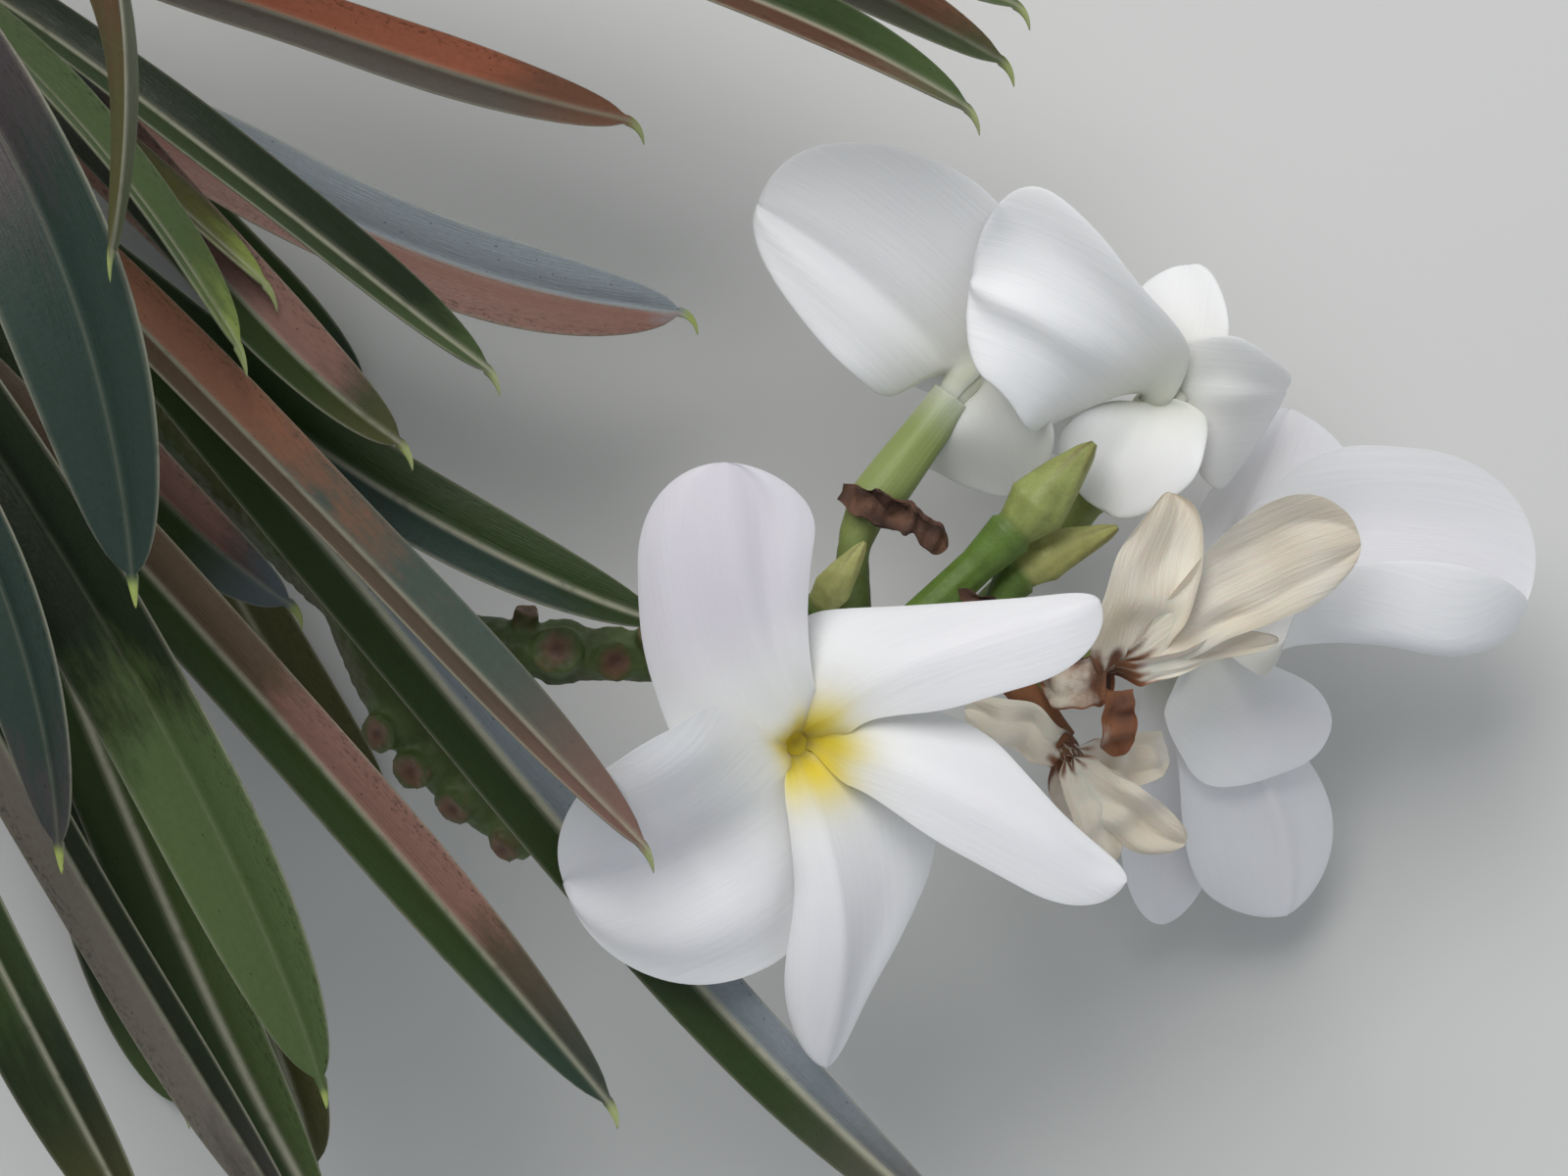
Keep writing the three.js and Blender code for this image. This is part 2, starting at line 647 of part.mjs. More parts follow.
// A thin lobe. Each side of its section lies flat, then turns evenly, then runs on straight.
function lobeGeometry(lobe, from, axis, scale) {
  const curve = new THREE.CubicBezierCurve3(from, ...lobe.path.map((p) => V(...p)));
  const face = (lobe.face ? V(...lobe.face) : axis.clone()).normalize();
  const rings = [];
  const stations = Math.round(BLOOM.stations * scale);
  for (let i = 0; i <= stations; i++) {
    const t = 1 - (1 - i / stations) ** 1.4;
    const along = curve.getTangent(t);
    const turned = face.clone().applyAxisAngle(along, -rad(lobe.roll * smoothstep(t, 0, 0.4)));
    const across = new THREE.Vector3().crossVectors(turned, along).normalize();
    const over = new THREE.Vector3().crossVectors(along, across);
    const at = (side, depth) => {
      const reach = lobeReach(t, lobe, side, Math.min(BLOOM.claw, lobe.half ?? BLOOM.claw) * scale);
      const bend = lobe.curl[side > 0 ? 0 : 1] * smoothstep(t, 0, 0.5) + 0.011;
      const [first, last] = (lobe.turning ?? EVEN_TURNING)[side > 0 ? 0 : 1];
      const share = Math.abs(side);
      const turned = (bend * (clamp(share, first, last) - first)) / (last - first);
      const beyond = Math.max(0, share - last);
      const radius = (last - first) / bend;
      const out = Math.min(share, first) + Math.sin(turned) * radius + beyond * Math.cos(bend);
      const rise = (1 - Math.cos(turned)) * radius + beyond * Math.sin(bend);
      return curve
        .getPoint(t)
        .addScaledVector(across, Math.sign(side) * (reach * out + depth * Math.sin(turned)))
        .addScaledVector(over, reach * rise - depth * Math.cos(turned));
    };
    const coarse = scale < 1 ? [1, 0.5, 0] : [1, 0.67, 0.33, 0];
    const sides = lobe.turning ? [1, 0.77, 0.54, 0.42, 0.3, 0] : coarse;
    const top = [...sides, ...sides.slice(0, -1).reverse().map((side) => -side)];
    const under = top.slice(1, -1).reverse();
    rings.push([...top.map((side) => at(side, 0)), ...under.map((side) => at(side, BLOOM.thick))]);
  }
  return loft(rings);
}

// A bloom's pedicel ends a gap short of its tube, in line with it.
function pedicelGeometry({ root, base, throat }, radius, end) {
  const way = V(...throat).sub(V(...base)).normalize();
  const foot = V(...base).addScaledVector(way, -GAP);
  const reach = V(...root).distanceTo(foot);
  const curve = new THREE.CubicBezierCurve3(
    V(...root),
    V(...root).lerp(foot, 0.3),
    foot.clone().addScaledVector(way, -reach * 0.45),
    foot,
  );
  return limb(curve, profile([[0, radius], [0.7, radius], [1, end]]), 6, 9);
}

function bloomGeometry({ base, throat, lobes }, scale) {
  const axis = V(...throat).sub(V(...base)).normalize();
  const radius = profile([
    [0, BLOOM.calyx * scale],
    [0.3, BLOOM.calyx * scale * 0.86],
    [0.6, BLOOM.tube * scale],
    [0.85, BLOOM.tube * scale * 1.15],
    [1, BLOOM.flare * scale],
  ]);
  const tube = limb(new THREE.LineCurve3(V(...base), V(...throat)), radius, 6, 9);
  const from = V(...throat).addScaledVector(axis, -1.2);
  const solids = [tube, ...lobes.map((lobe) => lobeGeometry(lobe, from, axis, scale))].map(toManifold);
  const pieces = solids.reduce((sum, next) => sum.add(next)).decompose();
  return fromManifold(pieces.sort((p, q) => q.volume() - p.volume())[0]);
}

function stalkSolid(grow) {
  const foot = STEM.tip.clone().addScaledVector(STEM_AXIS, GAP);
  const runs = STALK_RUNS.map(({ through, radii }, i) => {
    const points = through.map((p) => V(...p));
    const start = i === 0 ? [foot, foot.clone().addScaledVector(STEM_AXIS, 8)] : [];
    const curve = new THREE.CatmullRomCurve3([...start, ...points], false, 'centripetal');
    return limb(curve, profile([[0, radii[0] + grow], [1, radii[1] + grow]]), i === 0 ? 16 : 11, 9);
  });
  const stubs = STUBS.map(([root, end, radius]) =>
    limb(new THREE.LineCurve3(V(...root), V(...end)), () => radius + grow, 1, 6),
  );
  return [...runs, ...stubs].map(toManifold).reduce((sum, next) => sum.add(next));
}

function budGeometry({ root, collar, tip, radius, pedicel }) {
  const curve = new THREE.CatmullRomCurve3([V(...root), V(...collar), V(...tip)], false, 'centripetal');
  const share = V(...root).distanceTo(V(...collar)) / curve.getLength();
  const swell = share + (1 - share) * 0.3;
  const radiusAt = profile([[0, pedicel], [share, pedicel], [swell, radius], [1, radius * 0.2]]);
  return limb(curve, radiusAt, 11, 9);
}

branch.add(node('stem', limb(stemLine, stemRadius, STEM.stations, STEM.sides), MATERIALS.bark));
[...FRONT_LEAVES, ...REAR_LEAVES].forEach((leaf, i) => {
  const name = `leaf_${String(i + 1).padStart(2, '0')}`;
  branch.add(node(name, clearOf(leafGeometry(leaf), stemGrown), MATERIALS.leaf));
});

const stalkGrown = stalkSolid(GAP);
branch.add(node('flower_stalk', fromManifold(stalkSolid(0)), MATERIALS.stalk));
BLOOMS.forEach((bloom, i) => {
  const pedicel = clearOf(pedicelGeometry(bloom, 2.8, BLOOM.calyx), stalkGrown);
  branch.add(node(`pedicel_${i + 1}`, pedicel, MATERIALS.stalk));
  branch.add(node(`bloom_${i + 1}`, bloomGeometry(bloom, 1), MATERIALS.petal));
});
SPENT.forEach((bloom, i) => {
  const spent = clearOf(bloomGeometry(bloom, 0.7), stalkGrown);
  branch.add(node(`spent_flower_${i + 1}`, spent, MATERIALS.spent));
});
BUDS.forEach((bud, i) => {
  branch.add(node(`bud_${i + 1}`, clearOf(budGeometry(bud), stalkGrown), MATERIALS.calyx));
});
BRACTS.forEach((bract, i) => {
  const lobe = { ...bract, curl: [1.3, 1.0], roll: 0, round: 0.3, face: [0, 0, 1] };
  branch.add(node(`bract_${i + 1}`, lobeGeometry(lobe, V(...bract.root), UP, 0.7), MATERIALS.bract));
});

// The origin goes to the middle of the footprint, on the surface.
const extent = new THREE.Box3().setFromObject(branch);
const middle = extent.getCenter(V(0, 0, 0));
branch.position.set(-middle.x, -middle.y, -extent.min.z);

export default branch;
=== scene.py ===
"""A cut flowering branch tip of a Madagascar palm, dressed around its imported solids.

Every shape is worked out in millimetres from the same working point as the solids, and is moved
onto them when its mesh is made. Run as a script, it makes the whole branch and its stage.
"""
from typing import NamedTuple

import bpy
import numpy as np
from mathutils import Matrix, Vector


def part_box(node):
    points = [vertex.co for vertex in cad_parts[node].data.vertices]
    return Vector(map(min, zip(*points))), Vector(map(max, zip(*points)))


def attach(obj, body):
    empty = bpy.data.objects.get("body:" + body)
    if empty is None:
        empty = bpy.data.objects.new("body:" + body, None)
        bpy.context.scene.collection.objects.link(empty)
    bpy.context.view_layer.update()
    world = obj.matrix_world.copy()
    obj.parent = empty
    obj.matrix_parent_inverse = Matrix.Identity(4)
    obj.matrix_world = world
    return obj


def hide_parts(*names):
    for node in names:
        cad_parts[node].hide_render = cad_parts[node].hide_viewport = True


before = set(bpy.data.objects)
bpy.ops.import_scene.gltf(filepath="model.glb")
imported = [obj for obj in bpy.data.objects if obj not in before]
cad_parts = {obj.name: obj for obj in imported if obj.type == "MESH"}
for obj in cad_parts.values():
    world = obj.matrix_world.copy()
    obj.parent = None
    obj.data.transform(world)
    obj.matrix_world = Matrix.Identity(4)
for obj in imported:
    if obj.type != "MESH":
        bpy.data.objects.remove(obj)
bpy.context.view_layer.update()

bl_info = {
    "name": "Madagascar Palm Branch",
    "version": (1, 0, 0),
    "blender": (4, 5, 0),
    "location": "3D View > Sidebar > Branch",
    "description": "Makes a cut flowering branch with strap leaves, white blooms and its stage",
    "category": "Add Mesh",
}

BODY = "root"
UP = np.array([0.0, 0.0, 1.0])

# ---------------------------------------------------------------------------------------------
# Sizes shared with the solids, in millimetres and degrees.

STEM_CUT = np.array([-200.0, -8.0, 23.62])
STEM_TIP = np.array([-178.0, 122.0, 50.0])
STEM_PROFILE = ((0, 24), (0.45, 21), (0.86, 19), (0.95, 15.2), (1, 8.5))
STEM_LENGTH = float(np.linalg.norm(STEM_TIP - STEM_CUT))
STEM_AXIS = (STEM_TIP - STEM_CUT) / STEM_LENGTH
STEM_RIGHT = np.cross(STEM_AXIS, UP) / np.linalg.norm(np.cross(STEM_AXIS, UP))
STEM_TOP = np.cross(STEM_RIGHT, STEM_AXIS)


class Leaf(NamedTuple):
    """A leaf's course and width, in millimetres and degrees.

    It is seated that far below the stem's tip, turned round the stem and spread off it, and its
    hook ends at the tip with that heading and dip. The lean tips its face at the end, half is
    half its greatest width, and early and late are the reaches of its course's controls.
    """

    seat: float
    turn: float
    spread: float
    tip: tuple
    heading: float
    dip: float
    lean: float
    half: float
    early: float = 0.36
    late: float = 0.42


FRONT_LEAVES = (
    (14, 14, 62, (-24, 76, 60), -12, 8, -18, 6, 0.36, 0.42),
    (24, -5, 80, (-15, 44, 50), -3, 8, 4, 8, 0.33, 0.41),
    (10, 70, 62, (-46, 31, 100), -38, 15, -48, 6.6, 0.39, 0.44),
    (18, 84, 67, (-21, -46, 103), -47, 10, -50, 7.4, 0.37, 0.42),
    (42, 52, 59, (32, -115, 60), -39, 12, 8, 7, 0.31, 0.36),
    (44, 79, 74, (-27, -88, 98), -51, 5, -12, 6.6, 0.31, 0.41),
    (30, 90, 71, (-72, -82, 120), -73, 13, 12, 9.4, 0.35, 0.44),
    (27, 104, 46, (-96, -3, 160), -87, 16, 10, 11.4, 0.5, 0.62),
    (50, 101, 68, (-111, -44, 136), -88, 16, 20, 8, 0.35, 0.55),
    (8, 117, 52, (-97, 44, 178), -107, 23, 64, 7, 0.34, 0.62),
    (5, 72, 46, (32, 74, 94), -33, 13, -40, 6.4, 0.21, 0.31),
    (4, -10, 35, (39, 85, 68), -28, 15, -20, 6.6, 0.32, 0.4),
    (3, 100, 36, (41, 93, 80), -20, 12, -30, 6, 0.28, 0.42),
    (28, 40, 60, (-60, 19, 102), -36, 16, -30, 7, 0.5, 0.38),
    (6, 90, 57, (-84, 33, 124), -62, 9, -64, 6.6, 0.36, 0.43),
    (12, 93, 58, (-81, 44, 109), -44, 15, -66, 6, 0.39, 0.46),
    (34, 38, 73, (-18, -10, 82), -19, 0, -24, 7.4, 0.23, 0.46),
    (48, 26, 75, (-81, -7, 74), -34, 9, 14, 7.4, 0.35, 0.45),
    (66, 84, 75, (-102, -112, 98), -64, 13, 24, 8.6, 0.38, 0.43),
    (62, 80, 68, (-76, -112, 96), -58, 11, 26, 6.4, 0.37, 0.41),
    (54, 50, 76, (-74, -110, 88), -62, 12, 2, 7.4, 0.31, 0.45),
    (60, 50, 80, (-78, -101, 78), -81, 24, -16, 7.4, 0.2, 0.27),
)
REAR_LEAVES = (
    (16, 142, 60, (-352, 70, 112), 205, 22, 6, 8),
    (34, 130, 68, (-318, -38, 128), 236, 18, -8, 8.6),
    (52, 136, 72, (-262, -96, 104), 252, 16, 10, 7.6),
    (26, 162, 66, (-366, 8, 72), 215, 12, 4, 8.4),
    (46, 164, 70, (-330, -72, 62), 230, 12, -12, 7.4),
    (64, 158, 74, (-280, -118, 56), 246, 12, 8, 8),
    (9, 168, 52, (-348, 132, 80), 190, 20, -6, 8),
    (6, 146, 44, (-306, 176, 118), 175, 22, 10, 7),
    (4, 206, 34, (-262, 214, 84), 130, 16, 8, 7.4),
    (4, 270, 30, (-196, 232, 50), 100, 14, -8, 7),
)
# These rest on the surface: each is lowered until it touches it.
RESTING_LEAVES = (
    (20, 192, 66, (-374, 62, 2), 205, 3, 0, 8.4),
    (40, 202, 70, (-352, -30, 2), 222, 3, 4, 8),
    (60, 208, 74, (-300, -98, 2), 240, 3, -4, 8.2),
    (12, 212, 50, (-344, 150, 2), 172, 3, 2, 7.6),
    (14, 246, 40, (-282, 214, 2), 130, 3, -2, 8),
    (14, 300, 40, (-128, 226, 2), 70, 3, 2, 7.6),
    (30, 334, 68, (-76, 32, 2), -40, 3, 2, 8),
    (48, 326, 74, (-72, -44, 2), -45, 3, -4, 7.8),
    (64, 318, 78, (-110, -100, 2), -62, 3, 3, 8.2),
)

# What each leaf looks like: lower half, upper half, end, blush, where the blush is along the
# leaf, how far it spreads, which half has it (-1 lower, 1 upper, 0 both), and the midrib's pallor.
# The silver and slate colours in these rows are painted sheen, the sky's blue-grey reflection on
# the cuticle.
LEAF_LOOKS = (
    ("ash", "copper", "copper", "orange", 0.6, 0.34, 1, 0.5),
    ("rose", "silver_sheen", "silver_sheen", "rose", 0.75, 0.3, -1, 0.2),
    ("green", "deep", "sage", "deep", 0.7, 0.3, 1, 0.7),
    ("dun", "smoke", "rose", "copper", 0.46, 0.32, 1, 0.6),
    ("green", "silver_sheen", "ash", "rose", 0.25, 0.25, 1, 1.0),
    ("green", "dun", "teal", "rose", 0.8, 0.1, 1, 0.5),
    ("deep", "deep", "sage", "sage", 0.94, 0.2, 0, 0.1),
    ("teal", "teal", "teal", "plum", 0.5, 0.3, 0, 0.12),
    ("plum", "plum", "plum", "teal", 0.7, 0.3, 0, 0.12),
    ("olive", "ash", "olive", "rust", 0.5, 0.4, -1, 0.3),
    ("rose", "green", "sage", "rust", 0.6, 0.4, -1, 0.6),
    ("ash", "rose", "sage", "copper", 0.7, 0.3, 1, 0.4),
    ("green", "green", "lime", "sage", 0.8, 0.3, 0, 0.5),
    ("green", "teal", "olive", "rose", 0.7, 0.25, 1, 0.5),
    ("sage", "green", "lime", "sage", 0.6, 0.4, 0, 0.5),
    ("olive", "green", "lime", "olive", 0.7, 0.3, 0, 0.6),
    ("deep", "green", "green", "teal", 0.6, 0.4, -1, 0.6),
    ("green", "deep", "slate_sheen", "rose", 0.62, 0.34, 1, 0.3),
    ("deep", "deep", "olive", "green", 0.5, 0.4, 0, 0.7),
    ("plum", "deep", "plum", "ash", 0.6, 0.4, -1, 0.5),
    ("green", "deep", "green", "sage", 0.7, 0.4, 1, 1.0),
    ("deep", "deep", "olive", "olive", 0.8, 0.3, 0, 0.6),
    ("green", "green", "sage", "copper", 0.6, 0.25, 1, 0.7),
    ("teal", "deep", "slate_sheen", "slate_sheen", 0.7, 0.3, -1, 0.5),
    ("rust", "green", "olive", "copper", 0.5, 0.3, -1, 0.6),
    ("green", "sage", "lime", "sage", 0.6, 0.4, 0, 0.8),
    ("plum", "teal", "plum", "rose", 0.6, 0.3, 1, 0.5),
    ("deep", "green", "sage", "rust", 0.5, 0.3, -1, 0.6),
    ("olive", "green", "olive", "sage", 0.7, 0.3, 0, 0.8),
    ("green", "deep", "teal", "rose", 0.7, 0.25, 1, 0.5),
    ("teal", "green", "sage", "copper", 0.6, 0.2, 1, 0.6),
    ("deep", "green", "lime", "sage", 0.7, 0.4, 0, 0.8),
    ("green", "teal", "slate_sheen", "plum", 0.6, 0.3, 1, 0.5),
    ("olive", "deep", "rose", "copper", 0.6, 0.3, -1, 0.6),
    ("green", "green", "sage", "olive", 0.7, 0.3, 0, 0.8),
    ("deep", "teal", "sage", "teal", 0.6, 0.3, 0, 0.5),
    ("green", "deep", "lime", "rust", 0.5, 0.25, 1, 0.7),
    ("sage", "green", "lime", "sage", 0.6, 0.4, 0, 0.8),
    ("deep", "green", "teal", "rose", 0.6, 0.25, -1, 0.5),
    ("green", "deep", "olive", "olive", 0.7, 0.3, 0, 0.6),
    ("deep", "deep", "sage", "teal", 0.6, 0.3, 1, 0.6),
)

# The stalk's runs through their points, with the half width at each end.
STALK_RUNS = (
    (((-171, 137, 58), (-158, 133, 66), (-134, 84, 66), (-104, 30, 64), (-74, -2, 64)), 6.4, 5.2),
    (((-74, -2, 64), (-65.5, -22, 60), (-56, -34, 58), (-43, -45, 56)), 5.2, 3.2),
    (
        ((-74, -2, 64), (-58, -8, 65), (-40, -11, 65), (-7, -11, 65), (12, -8, 63), (48, -17, 60)),
        5.2,
        3,
    ),
)
# The stubs of dropped flowers: root, end, radius.
STUBS = (
    ((-66.5, -23, 60), (-69.5, -25, 64), 3.4),
    ((-61, -29, 59), (-64, -31.5, 63.5), 3.4),
    ((-54, -35, 58), (-57, -38, 61.5), 3.2),
    ((-46, -42, 56), (-48.5, -45, 59.5), 2.8),
    ((-45, -10, 65), (-43.5, -3.5, 68), 2.2),
    ((-38, -11, 65), (-38.5, -10.5, 71), 4),
    ((-29, -11, 65), (-28.5, -12.5, 70), 3.4),
    ((-23, -11, 65), (-22, -7.5, 69.5), 3),
)


class Lobe(NamedTuple):
    """A flower's lobe, in millimetres, with its curl in radians and its roll in degrees.

    The path is its middle line's controls after the throat. Left and right are its reaches near
    its foot, at its middle and near its end, and rounding is where its end starts to round. Its
    face looks along the tube where none is given. Each margin turns through its curl between two
    shares of its reach, and the foot through its roll. A swell is a bell on the face: place
    along, place across, reach along, reach across, height.
    """

    path: tuple
    left: tuple
    right: tuple
    rounding: float
    curl: tuple
    face: tuple = None
    roll: float = 0
    turning: tuple = ((0, 1), (0, 1))
    swells: tuple = ()


def hidden_lobe(path, reach):
    """A plain lobe with one reach, for a place that other lobes cover."""
    return Lobe(path, reach, reach, rounding=0.55, curl=(0.3, 0.3), roll=10)


class Bloom(NamedTuple):
    """An open flower from its pedicel's root, and how it is coloured.

    Yellow is how far that colour reaches from the throat, steep is the share of it on the
    funnel's steep side, which is the first two lobes, and lilac_shade is how much painted lilac
    shade the first lobe's face has.
    """

    root: tuple
    base: tuple
    throat: tuple
    yellow: float
    steep: float
    lilac_shade: float
    lobes: tuple


class Spent(NamedTuple):
    """A withered flower, and how brown each of its lobes is."""

    base: tuple
    throat: tuple
    stains: tuple
    lobes: tuple


BLOOMS = (
    Bloom(
        root=(-7, -11, 65), base=(-4, -23.5, 72), throat=(4, -26.5, 90),
        yellow=9.4, steep=0.62, lilac_shade=0.95,
        lobes=(
            Lobe(
                ((-5, -15, 95), (-10, 0, 99), (-9.5, 20.5, 97)),
                left=(18, 18, 15), right=(7, 11, 15.5), rounding=0.74,
                face=(0.1, 0, 1), curl=(-0.35, -0.5), roll=12,
                swells=((0.7, -0.4, 0.45, 0.2, -1.8), (0.6, 0.7, 0.5, 0.25, 0.8)),
            ),
            Lobe(
                ((-6, -36, 94), (-15, -46, 95), (-36.5, -48.5, 86)),
                left=(15, 26.5, 28), right=(19.5, 23.5, 23.5), rounding=0.42,
                curl=(0.25, 0.25), roll=7,
                swells=(
                    (0.72, 0.12, 0.3, 0.24, -4.6),
                    (0.74, 0.6, 0.4, 0.25, 2.4),
                    (0.5, -0.7, 0.35, 0.3, 2.0),
                ),
            ),
            Lobe(
                ((8, -42, 95), (14, -56, 93), (7, -80, 80)),
                left=(22, 20, 5.5), right=(6, 9, 13), rounding=0.6,
                curl=(-0.3, -1.5), roll=6,
                turning=((0, 1), (0.2, 1)),
                swells=((0.7, -0.1, 0.4, 0.2, 1.4), (0.6, 0.5, 0.4, 0.3, -0.8)),
            ),
            Lobe(
                ((18, -25, 96), (36, -38, 98), (56, -48, 94)),
                left=(10, 12.5, 4), right=(5.5, 9, 9), rounding=0.78,
                curl=(-0.5, -0.5), roll=9,
                swells=((0.6, 0, 0.4, 0.5, 1), (0.93, 0.2, 0.08, 0.4, -1)),
            ),
            Lobe(
                ((11, -12, 96), (32, -10, 99), (51.5, -2, 96)),
                left=(17.5, 11, 5), right=(4, 9, 9.5), rounding=0.74,
                face=(0.05, 0.15, 1), curl=(-0.5, -0.5), roll=12,
                swells=((0.5, 0.1, 0.4, 0.5, 1), (0.95, 0, 0.06, 0.5, 0.8)),
            ),
        ),
    ),
    Bloom(
        root=(12, -8, 60), base=(15.6, 15, 60), throat=(32.4, 37, 60),
        yellow=3.5, steep=1, lilac_shade=0.3,
        lobes=(
            Lobe(
                ((27, 42, 68), (13, 56, 71), (-4.5, 65.5, 65)),
                left=(22, 27, 24), right=(14, 14.5, 13), rounding=0.5,
                face=(0.2, 0.2, -0.96), curl=(-0.5, -0.45),
                swells=((0.66, -0.08, 0.5, 0.13, 1.5), (0.7, -0.45, 0.4, 0.25, -0.8)),
            ),
            Lobe(
                ((36, 31, 67), (38, 24, 61), (40, 16, 54)),
                left=(11, 17, 16), right=(7, 11, 8), rounding=0.5,
                face=(0.4, -0.1, -0.9), curl=(-0.4, -0.4),
            ),
            hidden_lobe(((36, 44, 50), (41, 47, 43), (42, 49, 30)), 10),
            hidden_lobe(((30, 37, 48), (25, 36, 38), (24, 37, 24)), 9),
            hidden_lobe(((40, 34, 50), (46, 32, 38), (50, 24, 24)), 13),
        ),
    ),
    Bloom(
        root=(28, -11, 57), base=(55, 19, 54), throat=(66, 34, 60),
        yellow=3.5, steep=1, lilac_shade=0.3,
        lobes=(
            Lobe(
                ((58, 40, 74), (48, 48, 82), (31.5, 52, 75)),
                left=(9.5, 11, 19), right=(19, 20.5, 15.5), rounding=0.82,
                face=(0.3, 0.12, -0.95), curl=(-0.35, -0.4),
                swells=((0.72, -0.15, 0.4, 0.18, -2.4), (0.7, 0.5, 0.35, 0.3, 1.2)),
            ),
            Lobe(
                ((67, 39, 65), (69, 47, 63), (69.5, 55.5, 58)),
                left=(6.5, 9, 7), right=(6, 8, 10), rounding=0.55,
                face=(0.3, 0.3, -0.9), curl=(-0.4, -0.4),
            ),
            Lobe(
                ((70, 34, 66), (77, 33, 65), (86.5, 34.5, 56)),
                left=(14, 17, 19.5), right=(8.5, 12, 8), rounding=0.5,
                face=(0.45, 0.35, -0.8), curl=(-0.4, -0.4),
                swells=((0.6, 0, 0.3, 0.2, -1),),
            ),
            Lobe(
                ((63, 28, 66), (59, 22, 66), (55, 13, 60)),
                left=(8, 11.5, 16), right=(9.5, 12.5, 10), rounding=0.45,
                face=(0.4, 0.1, -0.9), curl=(-0.4, -0.4),
                swells=((0.6, 0.2, 0.4, 0.25, 1),),
            ),
            hidden_lobe(((70, 39, 52), (73, 41, 43), (73, 42, 31)), 9.6),
        ),
    ),
    Bloom(
        root=(38, -14, 56), base=(61, -10, 47), throat=(72, -8.5, 43),
        yellow=3.5, steep=1, lilac_shade=0.35,
        lobes=(
            Lobe(
                ((75, 2, 46), (84, 15, 47), (89, 31.5, 42)),
                left=(6, 9, 7), right=(13.5, 20, 23), rounding=0.55,
                face=(0.2, 0, 0.95), curl=(0.3, -0.3), roll=6,
                swells=((0.6, 0.1, 0.4, 0.3, -1),),
            ),
            Lobe(
                ((84, 0, 45), (106, 7, 46), (130.5, -4, 38)),
                left=(10, 24, 22.5), right=(15.5, 26, 33), rounding=0.7,
                face=(0.1, 0, 0.98), curl=(0.25, 2.8),
                turning=((0, 1), (0.3, 0.54)),
                swells=((0.55, 0.45, 0.35, 0.3, -1.4),),
            ),
            Lobe(
                ((77, -16, 42), (87, -22, 38), (97.5, -25.5, 30)),
                left=(5, 6, 8), right=(14, 19, 12), rounding=0.5,
                face=(0.3, 0, 0.95), curl=(0.4, -0.3), roll=6,
            ),
            Lobe(
                ((78, -25, 38), (89, -38, 30), (91, -59.5, 17)),
                left=(6, 10.5, 18), right=(9, 15, 19), rounding=0.55,
                face=(0.2, 0.2, 0.95), curl=(-0.4, -0.4), roll=4,
                swells=((0.7, 0.1, 0.35, 0.14, 1.6),),
            ),
            Lobe(
                ((69, -24, 35), (67, -44, 26), (70, -61, 14)),
                left=(6, 8.5, 11), right=(6, 9, 8.5), rounding=0.6,
                face=(0, 0.2, 0.95), curl=(-0.3, 0.3), roll=6,
            ),
        ),
    ),
)
SPENT = (
    Spent(
        base=(46.5, -16.6, 60.5), throat=(57, -15.5, 68), stains=(0.0, 0.05, 0.2, 0.9, 0.55),
        lobes=(
            Lobe(
                ((58, -7, 74), (61, 3, 77), (65, 16, 72)),
                left=(6.5, 7.5, 4.5), right=(7, 11.5, 11), rounding=0.74,
                face=(0.3, -0.2, 0.9), curl=(0.5, 1.7),
                turning=((0, 1), (0.45, 0.8)),
            ),
            Lobe(
                ((65, -8, 74), (78, 2, 76), (98, 7.5, 66)),
                left=(2.5, 8.5, 14.5), right=(4, 6.5, 8), rounding=0.66,
                face=(0, -0.1, 0.98), curl=(0.35, -0.4),
            ),
            Lobe(
                ((63, -14, 72), (72, -11, 72), (84, -9, 66)),
                left=(2.5, 3.5, 4), right=(2, 1.5, 1.5), rounding=0.6,
                face=(0, -0.3, 0.9), curl=(0.8, 0.6),
            ),
            Lobe(
                ((57, -19, 71), (56, -24, 69), (57, -28.5, 66)),
                left=(2.5, 3.5, 4), right=(2, 3, 4), rounding=0.5,
                face=(0, 0, 1), curl=(0.9, 0.9),
            ),
            Lobe(
                ((52, -15, 72), (47, -15, 71), (43.5, -16.5, 66)),
                left=(5, 5, 5.5), right=(3.5, 4, 4), rounding=0.5,
                face=(-0.1, 0, 0.98), curl=(0.5, 0.5),
            ),
        ),
    ),
    Spent(
        base=(40, -16, 61.5), throat=(49.5, -29, 60.5), stains=(0.0, 0.1, 0.1, 0.0, 0.15),
        lobes=(
            Lobe(
                ((53, -33, 66), (60, -39, 68), (69, -44, 60)),
                left=(2.5, 4, 5), right=(4, 6, 7.5), rounding=0.6,
                face=(0, 0, 1), curl=(0.9, -0.9),
            ),
            Lobe(
                ((50, -35, 66), (53, -42, 65), (54.5, -49, 58)),
                left=(3.5, 5.5, 7), right=(2.5, 3.5, 4.5), rounding=0.6,
                face=(0, 0, 1), curl=(-0.9, 0.9),
            ),
            Lobe(
                ((45, -26, 66), (39, -22, 65), (31, -21, 60)),
                left=(4, 4.5, 5), right=(3, 4, 4.5), rounding=0.55,
                face=(0, 0, 1), curl=(0.5, 0.4),
            ),
            Lobe(
                ((56, -31, 64), (61, -30, 62), (67, -29, 52)),
                left=(3.5, 5, 6), right=(3.5, 4, 4), rounding=0.6,
                face=(0.2, 0, 0.95), curl=(0.5, 0.5),
            ),
            Lobe(
                ((49, -34, 55), (51, -39, 49), (53.5, -44.5, 43)),
                left=(4, 6, 7), right=(4.5, 5.5, 6), rounding=0.6,
                face=(0.3, 0, 0.9), curl=(0.6, 0.6),
            ),
        ),
    ),
)
